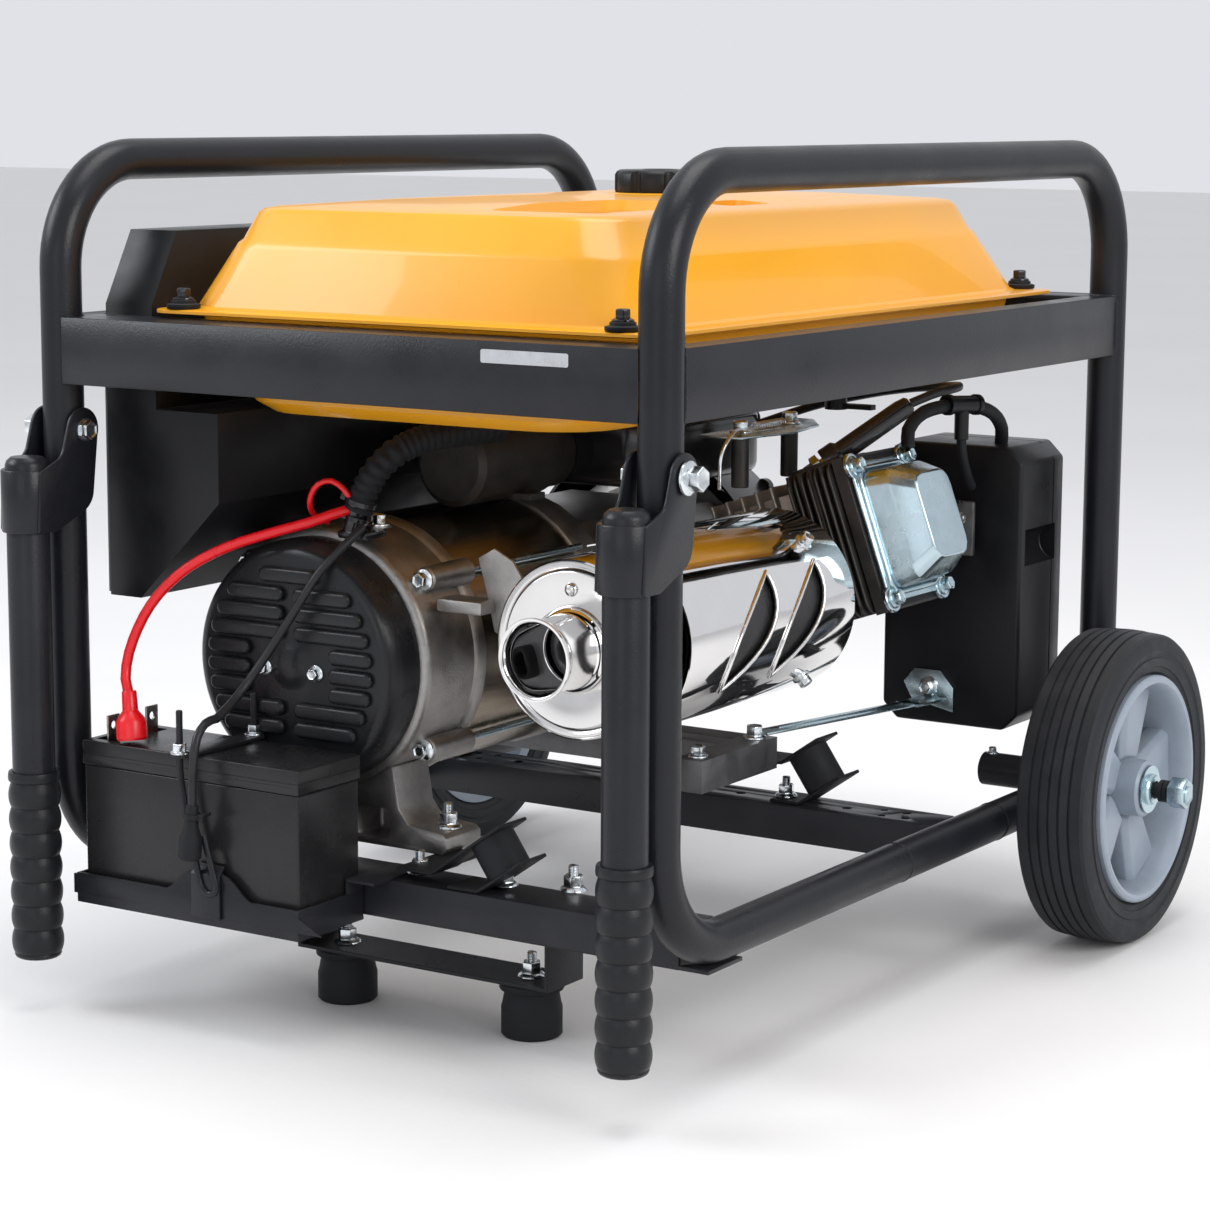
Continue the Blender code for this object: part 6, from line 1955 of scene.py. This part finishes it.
class GENERATOR_OT_wheels(bpy.types.Operator):
    """Adds tyres, rims, hubs and axles"""
    bl_idname = "generator.wheels"
    bl_label = "Wheels"

    def execute(self, context):
        make_wheels()
        return {"FINISHED"}


class GENERATOR_OT_handles(bpy.types.Operator):
    """Adds the folding handles"""
    bl_idname = "generator.handles"
    bl_label = "Handles"

    def execute(self, context):
        make_handles()
        return {"FINISHED"}


class GENERATOR_OT_tank(bpy.types.Operator):
    """Adds the fuel tank, its cap and bolts"""
    bl_idname = "generator.tank"
    bl_label = "Tank"

    def execute(self, context):
        make_tank()
        return {"FINISHED"}


class GENERATOR_OT_alternator(bpy.types.Operator):
    """Adds the end cover, end bell and stator"""
    bl_idname = "generator.alternator"
    bl_label = "Alternator"

    def execute(self, context):
        make_alternator()
        return {"FINISHED"}


class GENERATOR_OT_engine(bpy.types.Operator):
    """Adds the castings, head, starter, intake and base"""
    bl_idname = "generator.engine"
    bl_label = "Engine"

    def execute(self, context):
        make_engine()
        return {"FINISHED"}


class GENERATOR_OT_exhaust(bpy.types.Operator):
    """Adds the muffler, tailpipe and heat shield"""
    bl_idname = "generator.exhaust"
    bl_label = "Exhaust"

    def execute(self, context):
        make_exhaust()
        return {"FINISHED"}


class GENERATOR_OT_mounts(bpy.types.Operator):
    """Adds the rubber mounts"""
    bl_idname = "generator.mounts"
    bl_label = "Mounts"

    def execute(self, context):
        make_mounts()
        return {"FINISHED"}


class GENERATOR_OT_panel(bpy.types.Operator):
    """Adds the control panel and its switches"""
    bl_idname = "generator.panel"
    bl_label = "Control panel"

    def execute(self, context):
        make_panel()
        return {"FINISHED"}


class GENERATOR_OT_battery(bpy.types.Operator):
    """Adds the battery, tray and strap"""
    bl_idname = "generator.battery"
    bl_label = "Battery"

    def execute(self, context):
        make_battery()
        return {"FINISHED"}


GROUPS = [GENERATOR_OT_wiring, GENERATOR_OT_frame_tubes, GENERATOR_OT_rails, GENERATOR_OT_feet,
    GENERATOR_OT_wheels, GENERATOR_OT_handles, GENERATOR_OT_tank, GENERATOR_OT_alternator,
    GENERATOR_OT_engine, GENERATOR_OT_exhaust, GENERATOR_OT_mounts, GENERATOR_OT_panel,
    GENERATOR_OT_battery,]


class GENERATOR_PT_panel(bpy.types.Panel):
    """Lists the steps in the order that they run"""
    bl_label = "Portable generator"
    bl_space_type = "VIEW_3D"
    bl_region_type = "UI"
    bl_category = "Generator"

    def draw(self, context):
        layout = self.layout
        for owner in (context.scene.generator_colours, context.scene.generator_sizes,
                context.scene.generator_look):
            for name in owner.__annotations__:
                layout.prop(owner, name)
        for operator in [GENERATOR_OT_stage, GENERATOR_OT_finishes] + GROUPS:
            layout.operator(operator.bl_idname)


CLASSES = [GeneratorColours, GeneratorSizes, GeneratorLook, GENERATOR_OT_stage, GENERATOR_OT_finishes]
CLASSES += GROUPS + [GENERATOR_PT_panel]


def register():
    for item in CLASSES:
        bpy.utils.register_class(item)
    bpy.types.Scene.generator_colours = PointerProperty(type=GeneratorColours)
    bpy.types.Scene.generator_sizes = PointerProperty(type=GeneratorSizes)
    bpy.types.Scene.generator_look = PointerProperty(type=GeneratorLook)


def unregister():
    del bpy.types.Scene.generator_look
    del bpy.types.Scene.generator_sizes
    del bpy.types.Scene.generator_colours
    for item in reversed(CLASSES):
        bpy.utils.unregister_class(item)


KEPT_NODES = {"crankshaft": "steel", "rotor": "copper", "flywheel_fan": "casting",
    "fuel_valve_lever": "plastic",}


def finish_kept_nodes():
    """CAD nodes whose shape is already right only get their finish."""
    for node, finish in KEPT_NODES.items():
        material = FINISH[finish]
        mesh = frame["nodes"][node].data
        mesh.materials.clear()
        mesh.materials.append(material)


def main():
    register()
    bpy.ops.generator.stage()
    bpy.ops.generator.finishes()
    for group in GROUPS:
        getattr(bpy.ops.generator, group.bl_idname.split(".")[1])()
    finish_kept_nodes()
    drop_patterns()


if __name__ == "__main__":
    main()
